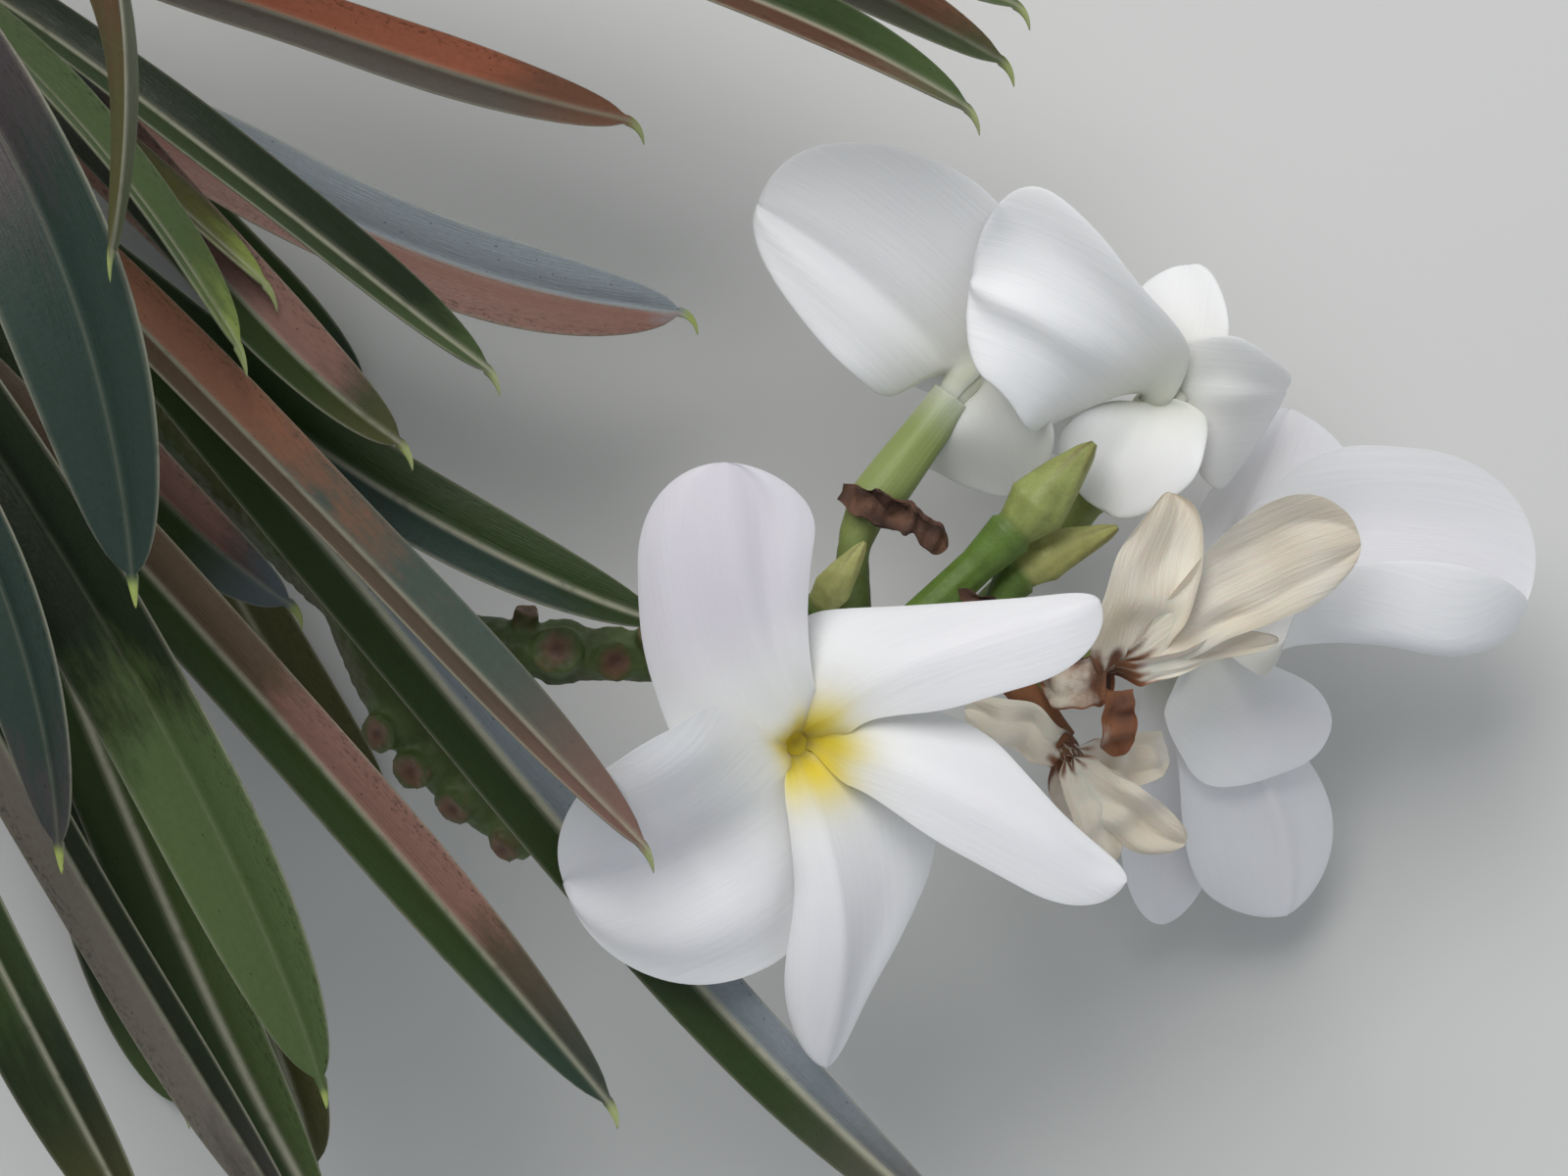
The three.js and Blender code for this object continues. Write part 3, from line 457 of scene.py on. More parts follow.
# Each bud: root, collar, tip, greatest radius, pedicel's radius, how pale its cone is.
BUDS = (
    ((19, -9, 65), (38.5, 9.5, 69), (52.5, 24.5, 70), 5.4, 3.4, 0.5),
    ((33, -12, 62), (40, 2, 62), (57, 10.4, 63), 4.2, 3, 1.0),
    ((0, -10.5, 65), (6, -3, 74), (13.5, 7.6, 79), 3.2, 2.4, 1.0),
)
# Each dried bract: root, path, half width.
BRACTS = (
    ((9.5, 16.5, 64), ((14, 15, 67), (20, 12, 67), (28, 7, 64)), 3.4),
    ((29.5, -1, 72), ((32, -1, 74), (35, -3, 74), (37.5, -6.5, 71)), 2.2),
)

# Colours as they look, from 0 to 255.
PAINTS = {
    "deep": (30, 41, 21),
    "green": (46, 63, 29),
    "sage": (78, 96, 56),
    "olive": (80, 79, 45),
    "lime": (160, 176, 92),
    "teal": (45, 61, 54),
    "slate_sheen": (104, 114, 122),
    # slate and silver are painted reflection: the blue-grey sheen of the sky on a glossy leaf.
    "silver_sheen": (146, 155, 162),
    "plum": (70, 64, 65),
    "ash": (104, 98, 90),
    "rose": (134, 100, 90),
    "rust": (94, 62, 46),
    "copper": (138, 94, 72),
    "orange": (190, 112, 84),
    "dun": (92, 76, 60),
    "smoke": (76, 88, 80),
    "cream": (204, 202, 178),
    "petal": (241, 241, 243),
    # lilac is painted shade: the cool grey-lilac of the petals' shaded faces.
    "lilac_shade": (216, 210, 220),
    "throat": (224, 200, 36),
    "tube": (140, 153, 88),
    "moss": (76, 92, 38),
    "apple": (92, 120, 46),
    "straw": (184, 186, 116),
    "scar": (140, 100, 78),
    "paper": (226, 219, 207),
    "toast": (132, 86, 54),
    "umber": (78, 52, 42),
    "bark": (126, 124, 106),
    "pith": (206, 210, 170),
}


def paint(name):
    """A named colour as light: the display curve undone, channel by channel."""
    shown = np.array(PAINTS[name]) / 255.0
    return np.where(shown <= 0.04045, shown / 12.92, ((shown + 0.055) / 1.055) ** 2.4)


# ---------------------------------------------------------------------------------------------
# Curves and surfaces.

SPAN_STEPS = 40  # straight steps that stand for one span of a smooth curve
WAVES, WAVES_HEIGHT = 8, 4.2  # plane waves in a ripple, and what their sum is divided by


def unit(a):
    """Each vector over its own length."""
    return a / np.linalg.norm(a, axis=-1, keepdims=True)


def ease(x, low, high):
    """0 below low, 1 above high, and 3k^2 - 2k^3 of the share k between them."""
    k = np.clip((x - low) / (high - low), 0, 1)
    return k * k * (3 - 2 * k)


def blend(a, b, k):
    """a where k is 0, b where k is 1, straight between."""
    return a + (b - a) * k


def bell(x, reach, power=2):
    """1 where x is 0, falling to 1/e where it is as far off as reach."""
    return np.exp(-(np.abs(x / reach) ** power))


def close_off(x, start, power=2):
    """1 up to start, then down to 0 at 1 like a quarter circle, squarer with a greater power."""
    return np.sqrt(1 - ((x - start) / (1 - start)).clip(0, 1) ** power)


def dye(tint, colour, share):
    """A tint carried towards a colour by its share at each point."""
    return blend(tint, colour, share[..., None])


def run_along(points):
    """How far along a line each of its points is."""
    return np.concatenate([[0], np.cumsum(np.linalg.norm(np.diff(points, axis=0), axis=1))])


def swing(vectors, axes, angles):
    """Vectors turned about unit axes by angles, by Rodrigues' formula."""
    c, s = np.cos(angles)[..., None], np.sin(angles)[..., None]
    along = np.sum(vectors * axes, axis=-1, keepdims=True) * axes
    return vectors * c + np.cross(axes, vectors) * s + along * (1 - c)


def cubic(p0, p1, p2, p3, t):
    """Points and unit tangents of the cubic with those four controls at the places t."""
    p0, p1, p2, p3 = (np.asarray(p, float) for p in (p0, p1, p2, p3))
    t = t[:, None]
    s = 1 - t
    points = s**3 * p0 + 3 * s * s * t * p1 + 3 * s * t * t * p2 + t**3 * p3
    slope = s * s * (p1 - p0) + 2 * s * t * (p2 - p1) + t * t * (p3 - p2)
    return points, unit(slope)


def through(points, t):
    """Points and unit tangents at the length shares t of the smooth curve through the points.

    Each span is a cubic Hermite whose slopes come from its neighbours, weighted by the square
    roots of the spans' lengths, and the ends mirror their neighbours.
    """
    p = np.asarray(points, float)
    p = np.vstack([2 * p[0] - p[1], p, 2 * p[-1] - p[-2]])
    d = np.sqrt(np.linalg.norm(np.diff(p, axis=0), axis=1))[:, None]
    before, after = (p[1:-1] - p[:-2]) / d[:-1], (p[2:] - p[1:-1]) / d[1:]
    slopes = before - (p[2:] - p[:-2]) / (d[:-1] + d[1:]) + after
    a, b = p[1:-2, None], p[2:-1, None]
    ma, mb = (slopes[:-1] * d[1:-1])[:, None], (slopes[1:] * d[1:-1])[:, None]
    s = np.linspace(0, 1, SPAN_STEPS, endpoint=False)[None, :, None]
    dense = (
        (2 * s**3 - 3 * s**2 + 1) * a + (s**3 - 2 * s**2 + s) * ma
        + (3 * s**2 - 2 * s**3) * b + (s**3 - s**2) * mb
    ).reshape(-1, 3)
    dense = np.vstack([dense, p[-2]])
    length = run_along(dense)
    where = t * length[-1]
    found = np.stack([np.interp(where, length, dense[:, i]) for i in range(3)], axis=1)
    slope = np.gradient(dense, length, axis=0)
    return found, unit(np.stack([np.interp(where, length, slope[:, i]) for i in range(3)], axis=1))


def ripple(points, size, seed):
    """Smooth relief from -1 to 1: eight plane waves about that size, in seeded directions."""
    random = np.random.RandomState(seed)
    ways = unit(random.normal(size=(WAVES, 3))) * (2 * np.pi / size)
    ways = ways * random.uniform(0.6, 1.7, (WAVES, 1))
    shifts = random.uniform(0, 2 * np.pi, WAVES)
    return np.sin(points @ ways.T + shifts).sum(axis=-1) / WAVES_HEIGHT


def section(sides):
    """Places across a closed thin section, its upper side then its lower, and which are lower."""
    places = np.concatenate([sides, -sides[1:-1]])[None]
    return places, (np.arange(places.size) >= len(sides))[None]


def skin(middle, across, over, x, y):
    """Rings of points: middle + across x + over y, with one x and y for each point."""
    return middle[:, None] + across[:, None] * x[..., None] + over[:, None] * y[..., None]


class Shell:
    """Closed surfaces gathered for one mesh: points in mm, faces, and values at the points."""

    def __init__(self):
        self.points, self.quads, self.corners, self.values = [], [], [], {}
        self.count = 0

    def loft(self, rings, **values):
        """Adds rings of points (stations x round x 3), closed round and capped at both ends.

        Each value has one entry for each point of the rings, or one for all of them. A cap is a
        fan to the middle of its ring, which takes the mean of the ring's values.
        """
        stations, around = rings.shape[:2]
        index = np.arange(stations * around).reshape(stations, around)
        after = np.roll(index, -1, axis=1)
        quads = np.stack([index[:-1], after[:-1], after[1:], index[1:]], axis=-1).reshape(-1, 4)
        first, last = stations * around, stations * around + 1
        foot = np.stack([np.full(around, first), after[0], index[0]], axis=-1)
        head = np.stack([np.full(around, last), index[-1], after[-1]], axis=-1)
        caps = np.stack([rings[0].mean(axis=0), rings[-1].mean(axis=0)])
        self.points.append(np.vstack([rings.reshape(-1, 3), caps]))
        self.quads.append(quads + self.count)
        self.corners.append(np.vstack([foot, head]) + self.count)
        for name, value in values.items():
            value = np.asarray(value, float)
            full = np.broadcast_to(value, (stations, around, value.shape[-1]))
            ends = np.stack([full[0].mean(axis=0), full[-1].mean(axis=0)])
            flat = np.vstack([full.reshape(-1, full.shape[-1]), ends])
            self.values.setdefault(name, []).append(flat)
        self.count += stations * around + 2

    def mesh(self, name):
        """The mesh in metres, with its values as point attributes, and its UV map if it has one."""
        mesh = bpy.data.meshes.new(name)
        points = np.vstack(self.points)
        quads, corners = np.vstack(self.quads), np.vstack(self.corners)
        mesh.vertices.add(len(points))
        mesh.vertices.foreach_set("co", ((points + SHIFT) / 1000).astype(np.float32).ravel())
        loops = np.concatenate([quads.ravel(), corners.ravel()]).astype(np.int32)
        starts = np.concatenate(
            [np.arange(len(quads)) * 4, len(quads) * 4 + np.arange(len(corners)) * 3]
        ).astype(np.int32)
        mesh.loops.add(len(loops))
        mesh.loops.foreach_set("vertex_index", loops)
        mesh.polygons.add(len(starts))
        mesh.polygons.foreach_set("loop_start", starts)
        mesh.update(calc_edges=True)
        for key, parts in self.values.items():
            value = np.vstack(parts)
            if key == "uv":
                layer = mesh.uv_layers.new(name="UVMap")
                layer.data.foreach_set("uv", value[loops].astype(np.float32).ravel())
            else:
                set_value(mesh, key, value)
        mesh.validate()
        mesh.polygons.foreach_set("use_smooth", np.ones(len(mesh.polygons), bool))
        return mesh


def set_value(mesh, key, value):
    """Stores three numbers for each point of a mesh: as a colour if the key is a tint."""
    colour = key in ("tint", "blush")
    layer = mesh.attributes.new(key, "FLOAT_COLOR" if colour else "FLOAT_VECTOR", "POINT")
    if colour:
        value = np.hstack([value, np.ones((len(value), 1))])
    layer.data.foreach_set("color" if colour else "vector", value.astype(np.float32).ravel())


def piece(name, mesh, material, slot, *nodes):
    """Puts a finished mesh into the scene and says what it rides on and stands for."""
    made = bpy.data.objects.new(name, mesh)
    bpy.context.scene.collection.objects.link(made)
    mesh.materials.append(material)
    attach(made, BODY)
    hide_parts(*nodes)
    return made


def girth(profile, t):
    """Radius that runs straight between (place, radius) pairs."""
    places, radii = zip(*profile)
    return np.interp(t, places, radii)


def tube(points, tangents, radii, around, reference=UP):
    """Rings round a path: middle + radius (across cos a + over sin a).

    across is the reference crossed with the path's direction, and over stands on both.
    """
    across = unit(np.cross(reference, tangents))
    over = np.cross(tangents, across)
    angle = np.linspace(0, 2 * np.pi, around, endpoint=False)
    radii = np.asarray(radii, float).reshape(len(points), -1)
    return skin(points, across, over, radii * np.cos(angle), radii * np.sin(angle))


def shift_to_solids():
    """From the stem's rings about the working point to the middle of its solid's box."""
    share = np.linspace(0, 1, 11)
    middle = STEM_CUT + (STEM_TIP - STEM_CUT) * share[:, None]
    rings = tube(middle, np.repeat(STEM_AXIS[None], 11, axis=0), girth(STEM_PROFILE, share), 24)
    points = rings.reshape(-1, 3)
    low, high = (np.array(corner) * 1000 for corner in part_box("stem"))
    return (low + high) / 2 - (points.min(0) + points.max(0)) / 2


SHIFT = shift_to_solids()


# ---------------------------------------------------------------------------------------------
# Materials.


class Finish:
    """A material's nodes, made one by one, with a noise-driven principled shader at the end."""

    def __init__(self, name, **sockets):
        self.material = bpy.data.materials.new(name)
        self.material.use_nodes = True
        self.tree = self.material.node_tree
        self.shader = self.tree.nodes["Principled BSDF"]
        for key, value in sockets.items():
            self.shader.inputs[key.replace("_", " ")].default_value = value

    def node(self, kind, feeds=(), **settings):
        """A node with its settings; feeds are (input, value or socket) pairs."""
        made = self.tree.nodes.new(kind)
        for key, value in settings.items():
            setattr(made, key, value)
        for key, value in feeds:
            if isinstance(value, bpy.types.NodeSocket):
                self.tree.links.new(value, made.inputs[key])
            else:
                made.inputs[key].default_value = value
        return made

    def value(self, name):
        """The stored value of that name, as a vector or colour."""
        kind = "Color" if name in ("tint", "blush") else "Vector"
        return self.node("ShaderNodeAttribute", attribute_name=name).outputs[kind]

    def parts(self, vector):
        """The three numbers of a vector."""
        return self.node("ShaderNodeSeparateXYZ", [(0, vector)]).outputs

    def place(self, scale, source="Object"):
        """Object or UV coordinates, stretched by the scale."""
        where = self.node("ShaderNodeTexCoord").outputs[source]
        return self.node("ShaderNodeMapping", [("Vector", where), ("Scale", scale)]).outputs[0]

    def noise(self, where, detail=3.0, rough=0.55):
        """Cloudy noise from 0 to 1 at those coordinates."""
        feeds = [("Vector", where), ("Scale", 1.0), ("Detail", detail), ("Roughness", rough)]
        return self.node("ShaderNodeTexNoise", feeds).outputs["Fac"]

    def spread(self, value, low, high, to_low=0.0, to_high=1.0):
        """Value carried smoothly from one range to another."""
        feeds = [(0, value), (1, low), (2, high), (3, to_low), (4, to_high)]
        return self.node("ShaderNodeMapRange", feeds, interpolation_type="SMOOTHSTEP").outputs[0]

    def sum(self, a, b):
        """a + b."""
        return self.node("ShaderNodeMath", [(0, a), (1, b)], operation="ADD").outputs[0]

    def times(self, a, b):
        """a * b."""
        return self.node("ShaderNodeMath", [(0, a), (1, b)], operation="MULTIPLY").outputs[0]

    def mix(self, share, a, b, kind="MIX"):
        """Colour a where the share is 0, and b, or a times b, where it is 1."""
        feeds = [(0, share), (6, a), (7, b)]
        made = self.node("ShaderNodeMix", feeds, data_type="RGBA", blend_type=kind)
        return made.outputs[2]

    def darken(self, share, colour, by):
        """The colour times another, as far as the share says."""
        return self.mix(share, colour, by, "MULTIPLY")

    def link(self, **sources):
        """Feeds the shader's sockets, whose names have their spaces as underscores."""
        for key, value in sources.items():
            self.tree.links.new(value, self.shader.inputs[key.replace("_", " ")])

    def bump(self, height, depth, strength=1.0):
        """Relief of that depth in metres."""
        feeds = [("Height", height), ("Distance", depth), ("Strength", strength)]
        self.link(Normal=self.node("ShaderNodeBump", feeds).outputs[0])


def tinted(rgb):
    """Three numbers as an opaque colour."""
    return (*[float(c) for c in rgb], 1.0)


def leaf_finish(gloss):
    """Leathery cuticle: two half colours, a blotched blush, pale rib and rims, dark specks."""
    made = Finish("leaf_cuticle", Roughness=gloss, Coat_Weight=0.03, Coat_Roughness=0.35)
    made.shader.inputs["Specular IOR Level"].default_value = 0.22
    marks = made.parts(made.value("marks"))
    blotch = made.noise(made.place((14, 60, 1), "UV"), 5.0, 0.62)
    broad = made.noise(made.place((3.4, 7, 1), "UV"), 2.0)
    uneven = made.sum(made.times(blotch, 0.55), made.times(broad, 0.6))
    share = made.spread(made.sum(marks[0], made.sum(uneven, -0.57)), 0.3, 0.72)
    colour = made.mix(share, made.value("tint"), made.value("blush"))
    grain = made.noise(made.place((900, 900, 900)), 3.0, 0.7)
    colour = made.darken(made.spread(grain, 0.35, 0.7, 0.0, 0.3), colour, (0.75, 0.72, 0.66, 1))
    speck = made.noise(made.place((60, 190, 1), "UV"), 6.0, 0.8)
    dark = made.times(made.spread(speck, 0.5, 0.62), marks[2])
    colour = made.mix(dark, colour, tinted(paint("deep") * 0.55))
    pits = made.node(
        "ShaderNodeTexVoronoi", [("Vector", made.place((30, 70, 1), "UV")), ("Scale", 1.0)]
    ).outputs["Distance"]
    colour = made.mix(made.spread(pits, 0.05, 0.08, 0.8, 0.0), colour, (0.012, 0.01, 0.008, 1))
    worn = made.noise(made.place((26, 26, 1), "UV"), 4.0)
    line = made.times(marks[1], made.spread(worn, 0.25, 0.5, 0.55, 1.0))
    colour = made.mix(line, colour, tinted(paint("cream") * 0.72))
    made.link(Base_Color=colour)
    made.link(Roughness=made.spread(blotch, 0.3, 0.75, gloss - 0.08, gloss + 0.12))
    striae = made.noise(made.place((16, 420, 1), "UV"))
    made.bump(made.sum(made.times(grain, 0.4), striae), 0.00022, 0.7)
    return made.material


def petal_finish():
    """Waxy white flesh: light goes into it, faint lengthwise veins, a soft cool shade."""
    made = Finish(
        "petal_flesh", Roughness=0.52, Subsurface_Weight=0.35, Subsurface_Radius=(1.0, 0.9, 0.8),
        Subsurface_Scale=0.0035, Sheen_Weight=0.12, Sheen_Roughness=0.5,
    )
    veins = made.noise(made.place((6, 90, 1), "UV"))
    cloud = made.noise(made.place((70, 70, 70)), 2.0)
    tone = made.sum(made.times(veins, 0.4), made.times(cloud, 0.6))
    shade = made.spread(tone, 0.3, 0.7, 0.0, 0.22)
    made.link(Base_Color=made.darken(shade, made.value("tint"), (0.88, 0.9, 0.94, 1)))
    made.bump(made.sum(veins, made.times(cloud, 0.5)), 0.0003, 0.35)
    return made.material


def skin_finish(name, rough, size, depth, soft=0.0):
    """Plant skin: the stored tint, mottled darker, with fleck and grain of that size."""
    made = Finish(name, Roughness=rough, Subsurface_Weight=soft, Subsurface_Scale=0.002)
    patch = made.noise(made.place((size, size, size)), 4.0, 0.6)
    grain = made.noise(made.place((size * 5,) * 3), 4.0, 0.7)
    mottle = made.spread(patch, 0.35, 0.7, 0.0, 0.55)
    colour = made.darken(mottle, made.value("tint"), (0.62, 0.6, 0.5, 1))
    colour = made.darken(made.spread(grain, 0.5, 0.75, 0.0, 0.5), colour, (0.7, 0.66, 0.58, 1))
    made.link(Base_Color=colour)
    made.link(Roughness=made.spread(grain, 0.3, 0.7, rough - 0.08, rough + 0.1))
    made.bump(made.sum(patch, made.times(grain, 0.5)), depth, 0.8)
    return made.material


def paper_finish():
    """Dry papery flesh: creases along the lobe, brown stains where the marks ask for them."""
    made = Finish("spent_paper", Roughness=0.72, Subsurface_Weight=0.15, Subsurface_Scale=0.002)
    veins = made.noise(made.place((8, 130, 1), "UV"), 5.0, 0.65)
    patch = made.noise(made.place((120, 120, 120)), 4.0, 0.6)
    marks = made.parts(made.value("marks"))
    stain = made.spread(made.sum(marks[0], made.sum(patch, -0.5)), 0.3, 0.75)
    colour = made.mix(stain, made.value("tint"), made.value("blush"))
    colour = made.darken(made.spread(veins, 0.45, 0.8, 0.0, 0.2), colour, (0.8, 0.72, 0.58, 1))
    made.link(Base_Color=colour)
    made.bump(made.sum(veins, made.times(patch, 0.3)), 0.0004, 0.7)
    return made.material


def finish(name, make, *values):
    """The material of that name, made once."""
    return bpy.data.materials.get(name) or make(*values)


# ---------------------------------------------------------------------------------------------
# Shapes.

LEAF_STATIONS, HOOK_STATIONS = 66, 10
LEAF_SINK = 2  # how deep a leaf's foot stands in the stem
LEAF_STALK, LEAF_FOOT = 2.4, 1.0  # half the width of a leaf's stalk, and what its foot adds
HOOK_PULL = np.array([0.06, -0.7, -0.2])  # what every hook bends towards
CREASE = 0.012  # softens the fold at the midrib
TOP_SIDES = np.array(
    [1, 0.985, 0.95, 0.88, 0.76, 0.62, 0.47, 0.33, 0.21, 0.12, 0.055, 0,
     -0.055, -0.12, -0.21, -0.33, -0.47, -0.62, -0.76, -0.88, -0.95, -0.985, -1]
)


def leaf_course(leaf, hook, t, share):
    """A leaf's middle line, its direction, the way its face looks and its length.

    The blade is a cubic from its seat on the stem to its end, t of the way along; the hook goes
    on from there by share of its length, turning from the leaf's way to the hook's own.
    """
    turn, spread, heading, dip = np.radians([leaf.turn, leaf.spread, leaf.heading, leaf.dip])
    where = 1 - leaf.seat / STEM_LENGTH
    outward = STEM_RIGHT * np.cos(turn) + STEM_TOP * np.sin(turn)
    start = outward * np.sin(spread) + STEM_AXIS * np.cos(spread)
    place = blend(STEM_CUT, STEM_TIP, where) + outward * (girth(STEM_PROFILE, where) - LEAF_SINK)
    level = np.array([np.cos(heading), np.sin(heading), 0])
    arrive = level * np.cos(dip) - UP * np.sin(dip)
    hook_way = unit(arrive * 0.6 + HOOK_PULL)
    end = np.array(leaf.tip) - hook_way * hook
    reach = np.linalg.norm(end - place)
    controls = place, place + start * reach * leaf.early, end - arrive * reach * leaf.late, end
    middle, along = cubic(*controls, t)
    way = unit(blend(arrive, hook_way, share[:, None]))
    tip_across = unit(np.cross(UP, arrive))
    tip_face = swing(np.cross(arrive, tip_across), arrive, np.radians(leaf.lean))
    face = blend(STEM_AXIS, tip_face, ease(t, 0, 0.6)[:, None])
    middle = np.vstack([middle, end + way * (hook * share)[:, None]])
    along = np.vstack([along, way])
    face = np.vstack([face, np.repeat(tip_face[None], len(share), axis=0)])
    return middle, along, face, run_along(middle)


def leaf_values(look, s, v, under, reach, hooked):
    """A leaf's colours and marks at the places s along it and v across it.

    Each half has its own colour, and so have the end, the foot, the hook and the lower side. The
    marks are the shares of the blush, of the pale midrib and margins, and of the specks.
    """
    left, right, end, blush, place, spread, side, pallor = look
    tint = dye(paint(left), paint(right), ease(v, -0.06, 0.06))
    tint = dye(tint, paint(end), 0.8 * ease(s, 0.86, 0.99))
    tint = dye(tint, paint("sage") * 1.1, 0.8 * (1 - ease(s, 0.02, 0.16)))
    tint = dye(tint, paint("lime"), ease(hooked, 0.0, 0.5))
    tint = dye(tint, paint("sage"), np.where(under, 0.55, 0))
    half_on = 1 if side == 0 else ease(v * side, -0.04, 0.1)
    blushing = bell(s - place, spread, 3) * half_on * np.where(under, 0.25, 1) * (1 - hooked)
    rib = bell(reach, 0.28 + 0.4 * pallor) * pallor * ease(s, 0.1, 0.25) * np.where(under, 0.4, 1)
    rims = 0.45 * ease(np.abs(v), 0.93, 0.985) * ease(s, 0.1, 0.3) * (1 - hooked)
    specks = 0.75 * ease(v * (side or 1), 0.3, 0.95) * blushing
    marks = np.stack([blushing, np.clip(rib + rims, 0, 1), specks], axis=-1)
    return {"tint": tint, "blush": paint(blush), "marks": marks}


def leaf_shell(leaf, look, sizes, resting, seed):
    """A leaf as one closed skin over (place along, place round its section).

    The section is a shallow V: its upper line rises by half the width times the sine of the fold
    times the softened distance from the midrib, with a fine raised thread in a groove at the
    middle; its lower line lies below by the rim's thickness plus a bell that makes the keel. The
    half width grows along the stalk, is full from the middle on, and closes as a quarter circle.
    """
    t = 1 - (1 - np.linspace(0, 1, LEAF_STATIONS)) ** 1.3
    share = np.linspace(0, 1, HOOK_STATIONS)[1:]
    middle, along, face, run = leaf_course(leaf, sizes.hook * 1000, t, share)
    wide = LEAF_STALK + (leaf.half - LEAF_STALK) * ease(t, 0.05, 0.55)
    wide = np.maximum(wide * close_off(t, 0.8), 0.9) + LEAF_FOOT * bell(t, 0.012, 1)
    fold = np.radians(blend(38, 20, ease(t, 0, 0.4)))
    keel = run[-1] * 0.0115 * (1 - 0.55 * t * t)
    rim = np.minimum(sizes.rim * 1000, wide * 0.6)
    hook_wide = 0.95 * (1 - share) ** 0.8 + 0.1
    hook_keel = blend(keel[-1], 0.25, ease(share, 0, 0.7)) * (1 - 0.4 * share)
    w = np.concatenate([wide, hook_wide])[:, None]
    f = np.concatenate([fold, blend(fold[-1], 0.1, share)])[:, None]
    k = np.concatenate([keel, hook_keel])[:, None]
    r = np.concatenate([rim, 0.9 * hook_wide])[:, None]
    across = unit(np.cross(face, along))
    over = np.cross(along, across)

    v, under = section(TOP_SIDES)
    s = np.concatenate([t, np.ones(len(share))])[:, None]
    hooked = np.concatenate([0 * t, share])[:, None]
    soft = (np.sqrt(v * v + CREASE) - np.sqrt(CREASE)) / (np.sqrt(1 + CREASE) - np.sqrt(CREASE))
    rise = w * np.sin(f) * soft + 0.05 * w * np.sin(np.pi * np.abs(v)) ** 2
    reach = w * np.cos(f) * v
    trim = r / 2 * (1 - close_off(np.abs(v), 0.9))
    thread = sizes.thread * 1000 * (bell(reach, 0.45) - 1.2 * bell(reach, 1.3)) * ease(w, 2.5, 5)
    lower = rise - r + trim - (k - r).clip(0) * bell(v, 0.27)
    wave = 0.035 * w * np.sin(s * 23 + seed + 1.5 * np.sign(v)) * np.abs(v) ** 2.5
    rings = skin(middle, across, over, reach, np.where(under, lower, rise - trim + thread) + wave)
    if resting:
        rings[..., 2] -= rings[..., 2].min()

    s, v, under, hooked = (np.broadcast_to(a, reach.shape) for a in (s, v, under, hooked))
    uv = np.stack([run[:, None] / 100 + seed + 0 * v, reach / 100 + 0.37 * seed], axis=-1)
    shell = Shell()
    shell.loft(rings, uv=uv, **leaf_values(look, s, v, under, reach, hooked))
    return shell


LOBE_STATIONS = 66
LOBE_SIDES = np.sin(np.linspace(np.pi / 2, -np.pi / 2, 47))


CLAW = 5.4  # half the width of a full-sized lobe's foot
THROAT_SINK = 1.2  # how far inside the throat a lobe's middle line starts
FUNNEL_FOOT, FUNNEL_MOUTH = 1.6, 6  # radii of the funnel that the lobes' feet make
FUNNEL_SLICE = 0.82  # half the angle of a lobe's slice of it


def reach_along(reaches, t, claw):
    """Half widths along a lobe: the listed ones, rounded off between their places."""
    if np.isscalar(reaches):
        return claw + (reaches - claw) * ease(t, 0, 0.42)
    near = t[:, None] + np.linspace(-0.08, 0.08, 9)
    return np.interp(near, (0, 0.2, 0.5, 0.85), (claw, *reaches)).mean(axis=1)


def creases(w, v, t, closed, seed, deep):
    """How far a withered lobe is pushed off its face, and along it, at each point.

    Sharp pleats run up it and wander, broad sags cross them, and all of it grows from its foot.
    """
    field = np.stack([w * v, 60 * t + 0 * v, 0 * w], axis=-1)
    wander = 0.3 * ripple(field * [0.5, 0.6, 1], 30.0, seed)
    pleat = 1 - 3 * np.abs(2 * ((0.9 * v + 0.37 * seed + wander) % 1) - 1) ** 1.5
    uneven = (0.55 + 0.45 * ripple(field, 18.0, seed + 7)) * (0.3 + 0.1 * w).clip(0, 1.2)
    grown = deep * ease(t, 0.08, 0.5) * (0.4 + 0.6 * closed)
    push = (0.7 * pleat * uneven + 1.4 * ripple(field, 26.0, seed + 5)) * grown
    return push, 0.5 * ripple(field, 22.0, seed + 9) * grown


def funnel_rings(lobe, throat, axis, scale, thick, t, v, under):
    """A lobe's slice of the funnel: throat - axis depth + radius (outward cos, sideways sin).

    The radius grows along the lobe, on its upper side faster, and is a little wider to the left.
    The depth falls as the radius grows, and its foot drops steeply into the tube.
    """
    way = unit(np.array(lobe.path[0], float) - (throat - axis * THROAT_SINK))
    outward = unit(way - axis * (way @ axis))
    sideways = np.cross(axis, outward)
    flare = FUNNEL_FOOT + (FUNNEL_MOUTH - FUNNEL_FOOT) * (t / 0.16).clip(0, 1) ** 0.8
    inner = flare - 0.23 * (FUNNEL_MOUTH - flare)
    radius = np.where(under, flare[:, None], inner[:, None]) * scale * (1 + 0.05 * v)
    radius = radius + np.where(under, 0.6 * thick, 0)
    depth = 1.15 * (FUNNEL_MOUTH - flare) + 5 * (1 - ease(t, 0, 0.045))
    middle = throat - axis * (depth * scale)[:, None]
    angle = FUNNEL_SLICE * v + 0.1
    x, y = radius * np.cos(angle), radius * np.sin(angle)
    return skin(middle, outward[None], sideways[None], x, y)


